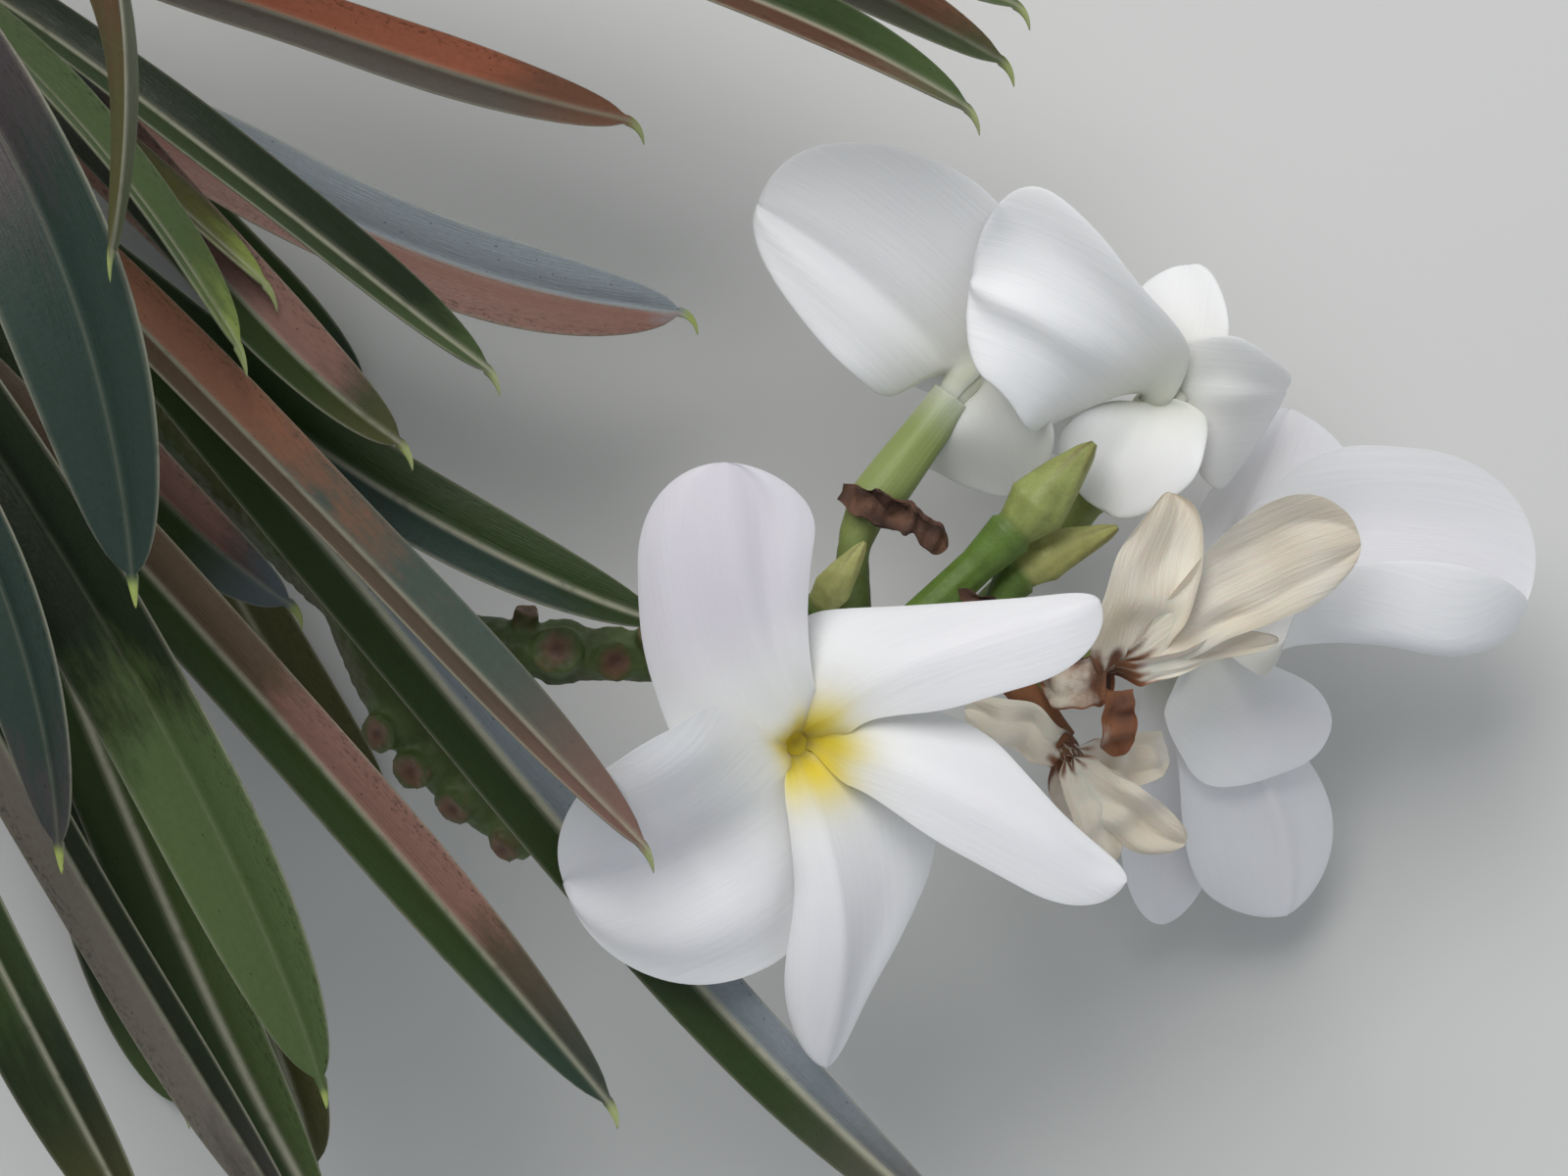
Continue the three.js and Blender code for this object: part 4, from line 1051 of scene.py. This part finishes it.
def lobe_rings(lobe, throat, axis, scale, thick, crumple=None):
    """A lobe as rings over (place along, place round its thin section), with its coordinates.

    Its middle line is a cubic from the throat. To each side its section lies flat to the first
    turning share, then turns evenly, sin(k a) / k out and (1 - cos(k a)) / k up, and then runs
    straight, with the flesh laid under it, thinning to the margin. Near the throat the section
    turns into a slice of the funnel. Swells are bells added to its height.
    """
    t = (1 - np.cos(np.pi * np.linspace(0, 1, LOBE_STATIONS))) / 2
    place = t[:, None]
    middle, along = cubic(throat - axis * THROAT_SINK, *lobe.path, t)
    face = unit(np.array(lobe.face if lobe.face else axis, float))
    rolled = -np.radians(lobe.roll) * ease(t, 0, 0.4)
    across = unit(np.cross(swing(np.repeat(face[None], len(t), axis=0), along, rolled), along))
    over = np.cross(along, across)
    claw = (min(CLAW, lobe.left) if np.isscalar(lobe.left) else CLAW) * scale
    closed = np.maximum(close_off(place, lobe.rounding, 2.3), 0.02)

    v, under = section(LOBE_SIDES)
    on_left = v > 0
    left, right = (reach_along(reaches, t, claw)[:, None] for reaches in (lobe.left, lobe.right))
    w = np.where(on_left, left, right) * closed
    bend = np.where(on_left, *lobe.curl) * ease(place, 0, 0.5) + 0.011
    first, last = (np.where(on_left, *pair) for pair in zip(*lobe.turning))
    share = np.abs(v)
    turn = bend * (share.clip(first, last) - first) / (last - first)
    radius = (last - first) / bend
    beyond = (share - last).clip(0)
    out = np.minimum(share, first) + np.sin(turn) * radius + beyond * np.cos(bend)
    rise = (1 - np.cos(turn)) * radius + beyond * np.sin(bend)
    flesh = thick * np.where(under, np.sqrt(1 - v**4), 0) * (0.3 + 0.7 * ease(w, 0, 4))
    flesh = flesh * np.minimum(1, 0.25 + (1 - place) / 0.02)
    height = 0.014 * w * np.sin(place * 15 + lobe.roll + 2 * np.sign(v)) * share**3
    for at, aside, long, broad, lift in lobe.swells:
        height = height + lift * bell(place - at, long) * bell(v - aside, broad)
    height = height * ease(place, 0.05, 0.35) * (0.25 + 0.75 * closed)
    x = np.sign(v) * (w * out + flesh * np.sin(turn))
    y = w * rise + (height - flesh) * np.cos(turn)
    if crumple is not None:
        push, slip = creases(w, v, place, closed, *crumple)
        x, y = x + slip, y + push
    rings = skin(middle, across, over, x, y)
    funnel = funnel_rings(lobe, throat, axis, scale, thick, t, v, under)
    return blend(funnel, rings, ease(place, 0.03, 0.18)[..., None]), place, v, under, w


TUBE_AROUND, TUBE_STATIONS, BOWL_STATIONS = 40, 56, 12
TUBE_RADIUS, BOWL_RADIUS = 4.6, 3.0
TUBE_PROFILE = np.array(  # shares of the tube's length and of its radius
    [(-0.02, 0.86), (0, 1.0), (0.12, 0.98), (0.3, 0.93), (0.45, 0.87), (0.6, 0.83), (0.7, 0.83),
     (0.76, 0.84), (0.79, 0.84), (0.8, 0.81), (0.79, 0.77), (0.77, 0.72)]
)


def bloom_tube(base, throat, scale, foot, mouth, lining):
    """The tube as a turned profile (height, radius) round its line, closed by a funnel's bowl.

    The bowl's depth is a cosine of its radius, so that it meets the lobes without an edge, and
    its lining carries painted shade: olive, darkest in the middle.
    """
    axis = unit(throat - base)
    length = np.linalg.norm(throat - base)
    rows = np.arange(len(TUBE_PROFILE))
    places = np.linspace(0, rows[-1], TUBE_STATIONS)
    height, radius = (np.interp(places, rows, column) for column in TUBE_PROFILE.T)
    bowl = np.linspace(1, 0.01, BOWL_STATIONS)
    bottom = 1 - (5.2 + 0.3 * np.cos(np.pi * bowl)) * scale / length
    height = np.concatenate([height, bottom])[:, None]
    radius = np.concatenate([radius * TUBE_RADIUS, BOWL_RADIUS * bowl])[:, None] * scale
    angle = np.linspace(0, 2 * np.pi, TUBE_AROUND, endpoint=False)[None]
    ribs = 1 + 0.035 * np.cos(5 * angle) * np.sin(np.pi * height.clip(0, 1))
    reference = np.array([1.0, 0, 0]) if abs(axis[2]) > 0.8 else UP
    along = np.repeat(axis[None], len(height), axis=0)
    rings = tube(base + axis * height * length, along, radius * ribs, TUBE_AROUND, reference)
    tint = dye(foot, mouth, ease(height, 0.45, 1.0))
    inside = (np.arange(len(height)) >= TUBE_STATIONS)[:, None, None]
    # Painted shade: the lining turns olive towards the bowl's middle, where the funnel is deepest.
    shaded_lining = dye(lining, paint("olive"), 0.35 * ease(-radius, -2.8 * scale, 0))
    uv = np.broadcast_arrays(height * length / 100, 0.1 * np.cos(angle))
    return rings, np.where(inside, shaded_lining, tint), np.stack(uv, axis=-1)


def bloom_shell(bloom):
    """A bloom: its tube and five lobes, white, and yellow round the throat, with painted shade:
    lilac-grey on the lobes' faces and olive at their feet in the funnel.
    """
    base, throat = np.array(bloom.base, float), np.array(bloom.throat, float)
    axis = unit(throat - base)
    shell = Shell()
    mouth = blend(paint("tube"), paint("petal"), 0.55)
    rings, tint, uv = bloom_tube(base, throat, 1.0, paint("tube"), mouth, paint("throat"))
    shell.loft(rings, tint=tint, uv=uv)
    for number, lobe in enumerate(bloom.lobes):
        rings, t, v, under, width = lobe_rings(lobe, throat, axis, 1.0, 1.0)
        away = np.linalg.norm(rings - throat, axis=-1)
        streak = 0.8 * np.cos(6 * v + number)
        reach = bloom.yellow * (bloom.steep if number < 2 else 1)
        # Painted shade: the lobes' faces turn lilac-grey towards their middles and far parts, the
        # first lobe most, as shaded white does; their undersides stay white.
        lilac_shade_share = (bloom.lilac_shade if number == 0 else 0.3) - 0.25 * v**2
        tint = dye(paint("petal"), paint("lilac_shade"), ease(t, 0.2, 0.6) * np.where(under, 0, lilac_shade_share))
        tint = dye(tint, paint("cream"), 0.45 * bell(away, 15.0))
        tint = dye(tint, paint("throat"), bell(away + streak, reach, 3) * np.where(under, 0.25, 1))
        # Painted shade: the lobes' faces darken to olive at their feet, where they drop into the
        # funnel.
        tint = dye(tint, paint("olive"), 0.35 * ease(-t, -0.1, -0.02) * np.where(under, 0, 1))
        tint = dye(tint, paint("tube"), 0.35 * bell(t, 0.2) * np.where(under, 1, 0))
        uv = np.stack([away / 100 + number, width * v / 100 + 0.3 * number], axis=-1)
        shell.loft(rings, tint=tint, uv=uv)
    return shell


SPENT_SCALE, SPENT_THICK = 0.7, 0.45


def spent_shell(flower, seed, crumple):
    """A spent flower: a bloom's parts shrunken, its lobes creased, stained and limp."""
    base, throat = np.array(flower.base, float), np.array(flower.throat, float)
    axis = unit(throat - base)
    toast, umber, paper = paint("toast"), paint("umber"), paint("paper")
    shell = Shell()
    rings, tint, uv = bloom_tube(base, throat, SPENT_SCALE, toast, toast * 0.8, umber)
    shell.loft(rings, tint=tint, blush=tint, marks=np.zeros(3), uv=uv)
    for number, (lobe, stain) in enumerate(zip(flower.lobes, flower.stains)):
        creased = seed + number, crumple
        rings, t, v, under, width = lobe_rings(
            lobe, throat, axis, SPENT_SCALE, SPENT_THICK, creased
        )
        t = t + 0 * v
        aged = 0.5 * (0.5 + 0.5 * ripple(rings, 16.0, seed + 3))
        tint = dye(paper, paper * [0.84, 0.74, 0.58], aged)
        brown = bell(t, 0.2) + 0.25 * ease(np.abs(v), 0.88, 1.0) + 0.2 * ease(t, 0.92, 1.0)
        streaked = 0.8 + 0.3 * np.sin(9 * v + 3 * t + number) + 0.15 * ripple(rings, 7.0, seed + 6)
        brown = brown * streaked + stain * (1 + 0.2 * ripple(rings, 8.0, seed))
        marks = np.stack([np.clip(brown, 0, 1), 0 * t, 0 * t], axis=-1)
        uv = np.stack([t * 0.5 + number, width * v / 100 + 0.3 * number], axis=-1)
        worn = (0.6 + 0.5 * ripple(rings, 7.0, seed + 9)).clip(0, 1)
        shell.loft(rings, tint=tint, blush=dye(umber, toast * 1.15, worn), marks=marks, uv=uv)
    return shell


PEDICEL_STATIONS, PEDICEL_AROUND = 30, 28
PEDICEL_PROFILE = ((0, 2.9), (0.7, 2.8), (0.9, 3.6), (1, 4.5))


def pedicel_shell(bloom):
    """A bloom's own stalk: rings round a cubic that ends in line with the tube."""
    root, base, throat = (np.array(p, float) for p in (bloom.root, bloom.base, bloom.throat))
    way = unit(throat - base)
    foot = base - way * 0.3
    reach = np.linalg.norm(foot - root)
    t = np.linspace(0, 1, PEDICEL_STATIONS)
    middle, along = cubic(root, blend(root, foot, 0.3), foot - way * reach * 0.45, foot, t)
    rings, centre = tube(middle, along, girth(PEDICEL_PROFILE, t), PEDICEL_AROUND), middle[:, None]
    rings = centre + (rings - centre) * (1 + 0.05 * ripple(rings, 6.0, 3))[..., None]
    shell = Shell()
    shell.loft(rings, tint=dye(paint("moss"), paint("tube"), ease(t, 0.3, 1)[:, None]))
    return shell


BUD_STATIONS, BRACT_STATIONS = 84, 40


def bud_shell(bud):
    """A bud: its pedicel swells into a collar, and five twisted ridges run up its cone."""
    root, collar, tip, radius, pedicel, pale = bud
    points = [np.array(p, float) for p in (root, collar, tip)]
    t = np.linspace(0, 1, BUD_STATIONS)
    middle, along = through(points, t)
    _, to_collar, to_tip = run_along(points)
    share = to_collar / to_tip
    left = 1 - share
    cone = (
        (0, pedicel), (share * 0.7, pedicel * 0.94), (share * 0.96, pedicel * 1.22),
        (share, pedicel * 1.24), (share + 0.012, pedicel * 1.02), (share + left * 0.3, radius),
        (share + left * 0.6, radius * 0.72), (share + left * 0.9, radius * 0.34),
        (1, radius * 0.12),
    )
    angle = np.linspace(0, 2 * np.pi, TUBE_AROUND, endpoint=False)[None]
    up = ((t - share) / left).clip(0, 1)[:, None]
    twist = np.abs(np.sin(2.5 * angle + 2.6 * up)) ** 0.6 - 0.7
    ridges = 1 + 0.14 * twist * ease(up, 0.05, 0.3) * (1 - 0.4 * up)
    bumps = 1 + 0.03 * np.sin(9 * angle) * ease(-t, -share, -share * 0.6)[:, None]
    rings = tube(middle, along, girth(cone, t)[:, None] * ridges * bumps, TUBE_AROUND)
    tint = dye(paint("apple"), blend(paint("apple"), paint("straw"), pale), ease(up, 0.0, 0.12))
    streaks = ease(up, 0.3, 1.0) * (0.5 + 0.3 * np.sin(5 * angle + 5.2 * up))
    tint = dye(tint, blend(paint("olive"), paint("straw"), 0.4 + 0.4 * pale), streaks)
    tint = dye(tint, paint("rust"), 0.5 * ease(twist * up, 0.1, 0.3))
    shell = Shell()
    shell.loft(rings, tint=tint)
    return shell


def bract_shell(bract, seed):
    """A dried scale: a small lobe, creased and rolled in at both margins."""
    root, path, half = bract
    t = 1 - (1 - np.linspace(0, 1, BRACT_STATIONS)) ** 1.4
    place = t[:, None]
    middle, along = cubic(root, *path, t)
    across = unit(np.cross(UP, along))
    over = np.cross(along, across)
    claw = min(CLAW, half) * SPENT_SCALE
    w = (claw + (half - claw) * ease(place, 0, 0.42)) * np.maximum(close_off(place, 0.3, 2.3), 0.04)
    w = w * (0.5 + 0.4 * ease(place, 0, 0.3))
    w = w * (1 + 0.28 * np.sin(9 * place + seed) * np.cos(4 * place))
    v, under = section(LOBE_SIDES)
    bend = np.where(v > 0, 1.3, 1.0) * ease(place, 0, 0.5) + 0.01
    flesh = 0.9 * np.where(under, np.sqrt(1 - v**4), 0) * ease(w, 0, 1.5)
    x = w * np.sin(bend * v) / bend + flesh * np.sin(bend * v)
    y = w * (1 - np.cos(bend * v)) / bend - flesh * np.cos(bend * v)
    rings = skin(middle, across, over, x, y)
    y = y + 1.3 * ripple(rings, 4.0, seed) * ease(w, 0, 2)
    rings = skin(middle, across, over, x, y)
    x = x + 1.5 * ripple(rings, 7.0, seed + 4) * ease(place, 0, 0.4)
    rings = skin(middle, across, over, x, y)
    worn = (0.5 + 0.5 * ripple(rings, 6.0, seed + 2)).clip(0, 1)
    shell = Shell()
    shell.loft(rings, tint=dye(paint("umber") * 0.7, paint("scar"), worn * 0.5))
    return shell


STALK_STATIONS, STALK_AROUND = 120, 32
STUB_STATIONS, STUB_AROUND = 16, 20
STUB_REFERENCE = np.array([0.3, 1.0, 0.2])  # lies along no stub


def stalk_shell():
    """The flower stalk's runs and stubs as tubes, swollen a little at each stub."""
    shell = Shell()
    foot = STEM_TIP - STEM_AXIS * 2
    for number, (points, first, last) in enumerate(STALK_RUNS):
        if number == 0:
            points = (tuple(foot), tuple(foot + STEM_AXIS * 10.3), *points)
        t = np.linspace(0, 1, STALK_STATIONS)
        middle, along = through(points, t)
        shell.loft(tube(middle, along, blend(first, last, t), STALK_AROUND))
    for root, end, radius in STUBS:
        root, end = np.array(root, float), np.array(end, float)
        t = np.linspace(0, 1, STUB_STATIONS)
        middle = blend(root, end, t[:, None])
        along = np.repeat(unit(end - root)[None], STUB_STATIONS, axis=0)
        swell = radius * (1 + 0.5 * bell(t, 0.4) + 0.12 * ease(t, 0.7, 0.95))
        shell.loft(tube(middle, along, swell, STUB_AROUND, STUB_REFERENCE))
    return shell


STEM_AROUND, CUT_RINGS, BARK_RINGS = 220, 12, 170
CUSHIONS, CUSHION_STEP, GOLDEN = 70, 1.86, np.radians(137.508)


def stem_shell():
    """The stem: rings with relief pulled in from its radius, a flat cut foot and a rounded tip.

    The relief is a spiral of low cushions, the golden angle apart, each a bell in angle and
    height with a sunken oval scar on it, over fine lengthwise wrinkles.
    """
    share = np.concatenate([np.zeros(CUT_RINGS), np.linspace(0, 1, BARK_RINGS) ** 0.97])[:, None]
    closing = np.concatenate([np.linspace(0.03, 0.985, CUT_RINGS), np.ones(BARK_RINGS)])[:, None]
    on_cut = (np.arange(len(share)) < CUT_RINGS)[:, None]
    angle = np.linspace(0, 2 * np.pi, STEM_AROUND, endpoint=False)[None]
    height = share * STEM_LENGTH
    radius = girth(STEM_PROFILE, share)
    relief = np.zeros((len(share), STEM_AROUND))
    scar = np.zeros_like(relief)
    for count in range(CUSHIONS):
        off = (angle - count * GOLDEN + np.pi) % (2 * np.pi) - np.pi
        arc, rise = off * radius, height - 3 - count * CUSHION_STEP
        oval = bell(np.hypot(arc / 2.3, (rise - 0.6) / 1.5), 1, 4)
        relief += bell(arc, 4.6) * bell(rise, 3.6) - 0.45 * oval
        scar = np.maximum(scar, oval)
    middle = STEM_CUT + STEM_AXIS * height
    along = np.repeat(STEM_AXIS[None], len(share), axis=0)
    rings = tube(middle, along, radius, STEM_AROUND)
    wrinkle = ripple(rings * [2.2, 0.5, 2.2], 6.0, 11) * 0.22
    drawn = radius - 1.5 + 1.35 * relief.clip(0, 1.1) + wrinkle
    drawn = blend(drawn, radius, ease(share, 0.9, 1))
    rings = tube(middle, along, drawn * closing, STEM_AROUND)
    fibre = np.where(on_cut, 0.35 * ease(closing, 0.8, 0.97) - 0.25 * ease(closing, 0.0, 0.5), 0)
    rings = rings - STEM_AXIS * fibre[..., None]
    tint = dye(paint("bark"), paint("moss"), 0.45 * ease(share, 0.5, 1))
    tint = dye(tint, paint("scar") * 1.1, 0.75 * scar)
    # Painted shade: the bark is darkened by a fifth in the hollows between the cushions and in the
    # sunken scars.
    tint = dye(tint * 0.8, tint, relief.clip(0, 1))
    flesh = dye(paint("pith"), paint("sage") * 1.3, ease(closing, 0.35, 0.8) * 0.5)
    flesh = dye(flesh, paint("umber"), 0.5 * bell(closing - 0.62, 0.03))
    tint = np.where(on_cut[..., None], dye(flesh, tint, ease(closing, 0.86, 0.9)), tint)
    shell = Shell()
    shell.loft(rings, tint=tint)
    return shell


# ---------------------------------------------------------------------------------------------
# Settings.

Number, Colour = bpy.props.FloatProperty, bpy.props.FloatVectorProperty


class LeafSettings(bpy.types.PropertyGroup):
    """Sizes and gloss of the leaves."""

    hook: Number(name="Hook", description="Length of a leaf's hooked point",
                 default=0.0055, subtype="DISTANCE", unit="LENGTH")
    rim: Number(name="Rim", description="Thickness of a leaf's margin",
                default=0.0007, subtype="DISTANCE", unit="LENGTH")
    thread: Number(name="Midrib Thread", description="Height of the fine ridge along the midrib",
                   default=0.0003, subtype="DISTANCE", unit="LENGTH")
    gloss: Number(name="Roughness", description="Roughness of the leaf's cuticle",
                  default=0.4, min=0.0, max=1.0, subtype="FACTOR")


class FlowerSettings(bpy.types.PropertyGroup):
    """What the flowers are made with."""

    voxel: Number(name="Stalk Voxel", description="Fineness at which the stalk's tubes are fused",
                  default=0.0006, subtype="DISTANCE", unit="LENGTH")


class StageSettings(bpy.types.PropertyGroup):
    """The floor, the lights and the camera."""

    floor: Colour(name="Floor", description="Colour of the floor", size=3,
                  default=(0.66, 0.66, 0.65), subtype="COLOR", min=0.0, max=1.0)
    key: Number(name="Key Light", description="Power of the large soft light", default=29.0,
                min=0.0, subtype="POWER", unit="POWER")
    fill: Number(name="Fill Light", description="Power of the weaker soft light", default=5.0,
                 min=0.0, subtype="POWER", unit="POWER")
    height: Number(name="Camera Height", description="Height of the camera above the floor",
                   default=0.795, subtype="DISTANCE", unit="LENGTH")


# ---------------------------------------------------------------------------------------------
# Operators.


class BRANCH_OT_stem(bpy.types.Operator):
    """Makes the stem with its scarred bark and cut foot"""

    bl_idname = "branch.stem"
    bl_label = "Make Stem"

    def execute(self, context):
        bark = finish("stem_bark", skin_finish, "stem_bark", 0.78, 240, 0.0004)
        piece("stem_bark_skin", stem_shell().mesh("stem_bark_skin"), bark, "bark", "stem")
        return {"FINISHED"}


class BRANCH_OT_leaves(bpy.types.Operator):
    """Makes every strap leaf, each in the colours of its row"""

    bl_idname = "branch.leaves"
    bl_label = "Make Leaves"

    def execute(self, context):
        sizes = context.scene.branch_leaf
        cuticle = finish("leaf_cuticle", leaf_finish, sizes.gloss)
        leaves = [Leaf(*row) for row in (*FRONT_LEAVES, *REAR_LEAVES, *RESTING_LEAVES)]
        if len(leaves) != len(LEAF_LOOKS):
            raise ValueError("every leaf needs its row of colours")
        raised = len(leaves) - len(RESTING_LEAVES)
        for number, (leaf, look) in enumerate(zip(leaves, LEAF_LOOKS), 1):
            shell = leaf_shell(leaf, look, sizes, number > raised, number)
            name = f"strap_leaf_{number:02d}"
            piece(name, shell.mesh(name), cuticle, "leaf", f"leaf_{number:02d}")
        return {"FINISHED"}


class BRANCH_OT_stalk(bpy.types.Operator):
    """Makes the forked flower stalk, its scars and the blooms' pedicels"""

    bl_idname = "branch.stalk"
    bl_label = "Make Flower Stalk"

    def execute(self, context):
        green = finish("stalk_skin", skin_finish, "stalk_skin", 0.5, 180, 0.0003, 0.05)
        mesh = stalk_shell().mesh("forked_stalk")
        made = piece("forked_stalk", mesh, green, "stalk", "flower_stalk")
        fuse = made.modifiers.new("fuse", "REMESH")
        fuse.mode, fuse.voxel_size = "VOXEL", context.scene.branch_flower.voxel
        calm = made.modifiers.new("calm", "SMOOTH")
        calm.factor, calm.iterations = 0.5, 8
        seen = made.evaluated_get(context.evaluated_depsgraph_get())
        fused = bpy.data.meshes.new_from_object(seen)
        made.modifiers.clear()
        made.data = fused
        self.dress(fused)
        fused.materials.clear()
        fused.materials.append(green)
        for number, bloom in enumerate(BLOOMS, 1):
            name = f"flower_pedicel_{number}"
            piece(name, pedicel_shell(bloom).mesh(name), green, "stalk", f"pedicel_{number}")
        return {"FINISHED"}

    def dress(self, mesh):
        """Roughens the fused skin along its normals and stains it by its distance to the scars."""
        count = len(mesh.vertices)
        points, normals = np.empty(count * 3, np.float32), np.empty(count * 3, np.float32)
        mesh.vertices.foreach_get("co", points)
        mesh.vertices.foreach_get("normal", normals)
        points = points.reshape(-1, 3).astype(float) * 1000 - SHIFT
        normals = normals.reshape(-1, 3)
        ends = np.array([end for _, end, _ in STUBS], float)
        away = np.linalg.norm(points[:, None] - ends[None], axis=-1).min(axis=1)
        rough = 0.3 * ripple(points, 9.0, 21) + 0.16 * ripple(points, 3.0, 22)
        rough -= 0.5 * bell(away, 1.2)
        moved = points + normals * rough[:, None]
        mesh.vertices.foreach_set("co", ((moved + SHIFT) / 1000).astype(np.float32).ravel())
        ragged = away * (1 + 0.3 * ripple(points, 4.0, 24))
        patches = 0.7 * ease(ripple(points, 14.0, 23), -0.3, 0.6)
        tint = dye(paint("moss") * 0.8, paint("olive"), patches)
        tint = dye(tint, paint("tube"), 0.3 * ease(points[:, 0], -40, 20))
        tint = dye(tint, paint("sage") * 1.8, 0.45 * bell(away - 4.2, 1.8))
        tint = dye(tint, paint("scar"), 0.9 * bell(ragged, 2.6, 4))
        tint = dye(tint, paint("umber"), 0.8 * bell(ragged, 1.4))
        set_value(mesh, "tint", tint)
        mesh.polygons.foreach_set("use_smooth", np.ones(len(mesh.polygons), bool))
        mesh.update()


class BRANCH_OT_blooms(bpy.types.Operator):
    """Makes the open blooms"""

    bl_idname = "branch.blooms"
    bl_label = "Make Blooms"

    def execute(self, context):
        flesh = finish("petal_flesh", petal_finish)
        for number, bloom in enumerate(BLOOMS, 1):
            name = f"open_bloom_{number}"
            piece(name, bloom_shell(bloom).mesh(name), flesh, "petal", f"bloom_{number}")
        return {"FINISHED"}


class BRANCH_OT_spent(bpy.types.Operator):
    """Makes the spent flowers"""

    bl_idname = "branch.spent"
    bl_label = "Make Spent Flowers"

    def execute(self, context):
        paper = finish("spent_paper", paper_finish)
        for number, flower in enumerate(SPENT, 1):
            name = f"wilted_flower_{number}"
            shell = spent_shell(flower, 30 * number, 0.5 + 0.5 * number)
            piece(name, shell.mesh(name), paper, "spent", f"spent_flower_{number}")
        return {"FINISHED"}


class BRANCH_OT_buds(bpy.types.Operator):
    """Makes the buds and the dried bracts"""

    bl_idname = "branch.buds"
    bl_label = "Make Buds and Bracts"

    def execute(self, context):
        green = finish("bud_skin", skin_finish, "bud_skin", 0.5, 260, 0.0002, 0.1)
        for number, bud in enumerate(BUDS, 1):
            name = f"closed_bud_{number}"
            piece(name, bud_shell(bud).mesh(name), green, "calyx", f"bud_{number}")
        dry = finish("bract_husk", skin_finish, "bract_husk", 0.8, 420, 0.0005)
        for number, bract in enumerate(BRACTS, 1):
            name = f"dried_bract_{number}"
            piece(name, bract_shell(bract, number).mesh(name), dry, "bract", f"bract_{number}")
        return {"FINISHED"}


FLOOR_RADIUS, FLOOR_SIDES = 6.0, 96
LENS, SENSOR = 98.4375, 36.0  # millimetres
NEAREST, FURTHEST = 0.01, 50


class BRANCH_OT_stage(bpy.types.Operator):
    """Makes the floor, the lights and the camera"""

    bl_idname = "branch.stage"
    bl_label = "Make Stage"

    def execute(self, context):
        scene, look = context.scene, context.scene.branch_stage
        mesh = bpy.data.meshes.new("studio_floor")
        angle = np.linspace(0, 2 * np.pi, FLOOR_SIDES, endpoint=False)
        rim = np.stack([np.cos(angle), np.sin(angle), 0 * angle], axis=1) * FLOOR_RADIUS
        mesh.from_pydata(rim.tolist(), [], [list(range(FLOOR_SIDES))])
        floor = bpy.data.objects.new("studio_floor", mesh)
        scene.collection.objects.link(floor)
        ground = Finish("studio_floor", Roughness=0.85)
        cloud = ground.noise(ground.place((3, 3, 3)), 2.0)
        pale = tinted(look.floor)
        shade = ground.spread(cloud, 0.3, 0.7, 0, 0.06)
        ground.link(Base_Color=ground.mix(shade, pale, (0.5, 0.5, 0.5, 1)))
        mesh.materials.append(ground.material)

        world = bpy.data.worlds.new("studio")
        world.use_nodes = True
        sky = world.node_tree.nodes["Background"]
        sky.inputs["Color"].default_value = (0.9, 0.95, 1.0, 1)
        sky.inputs["Strength"].default_value = 0.33
        scene.world = world
        middle = (SHIFT / 1000) + np.array([0.0, 0.0, 0.06])
        self.light(scene, "key", look.key, 1.3, middle, (-0.5, 1.1, 1.5), (1.0, 0.985, 0.96))
        self.light(scene, "fill", look.fill, 1.8, middle, (1.3, -1.0, 1.3), (0.9, 0.95, 1.0))
        scene.view_settings.view_transform = "Standard"

        data = bpy.data.cameras.new("photograph")
        data.lens, data.sensor_width = LENS, SENSOR
        data.clip_start, data.clip_end = NEAREST, FURTHEST
        camera = bpy.data.objects.new("photograph", data)
        scene.collection.objects.link(camera)
        camera.location = (SHIFT[0] / 1000, SHIFT[1] / 1000, look.height)
        scene.camera = camera
        return {"FINISHED"}

    def light(self, scene, name, power, size, middle, way, colour):
        """A square soft light, that way off from the middle and turned to it."""
        data = bpy.data.lights.new(name, "AREA")
        data.energy, data.size, data.color = power, size, colour
        lamp = bpy.data.objects.new(name, data)
        scene.collection.objects.link(lamp)
        lamp.location = middle + np.array(way)
        lamp.rotation_euler = Vector(way).to_track_quat("Z", "Y").to_euler()


class BRANCH_PT_panel(bpy.types.Panel):
    """Lists the settings and what makes each part."""

    bl_label = "Flowering Branch"
    bl_space_type = "VIEW_3D"
    bl_region_type = "UI"
    bl_category = "Branch"

    def draw(self, context):
        scene = context.scene
        for group in (scene.branch_leaf, scene.branch_flower, scene.branch_stage):
            box = self.layout.box()
            for key in group.__annotations__:
                box.prop(group, key)
        for operator in OPERATORS:
            self.layout.operator(operator.bl_idname)


SETTINGS = {
    "branch_leaf": LeafSettings,
    "branch_flower": FlowerSettings,
    "branch_stage": StageSettings,
}
OPERATORS = (
    BRANCH_OT_stage,
    BRANCH_OT_stem,
    BRANCH_OT_leaves,
    BRANCH_OT_stalk,
    BRANCH_OT_blooms,
    BRANCH_OT_spent,
    BRANCH_OT_buds,
)


def register():
    for made in (*SETTINGS.values(), *OPERATORS, BRANCH_PT_panel):
        bpy.utils.register_class(made)
    for name, group in SETTINGS.items():
        setattr(bpy.types.Scene, name, bpy.props.PointerProperty(type=group))


def unregister():
    for name in SETTINGS:
        delattr(bpy.types.Scene, name)
    for made in (BRANCH_PT_panel, *reversed(OPERATORS), *reversed(SETTINGS.values())):
        bpy.utils.unregister_class(made)


def main():
    register()
    for operator in OPERATORS:
        family, _, name = operator.bl_idname.partition(".")
        getattr(getattr(bpy.ops, family), name)()


if __name__ == "__main__":
    main()
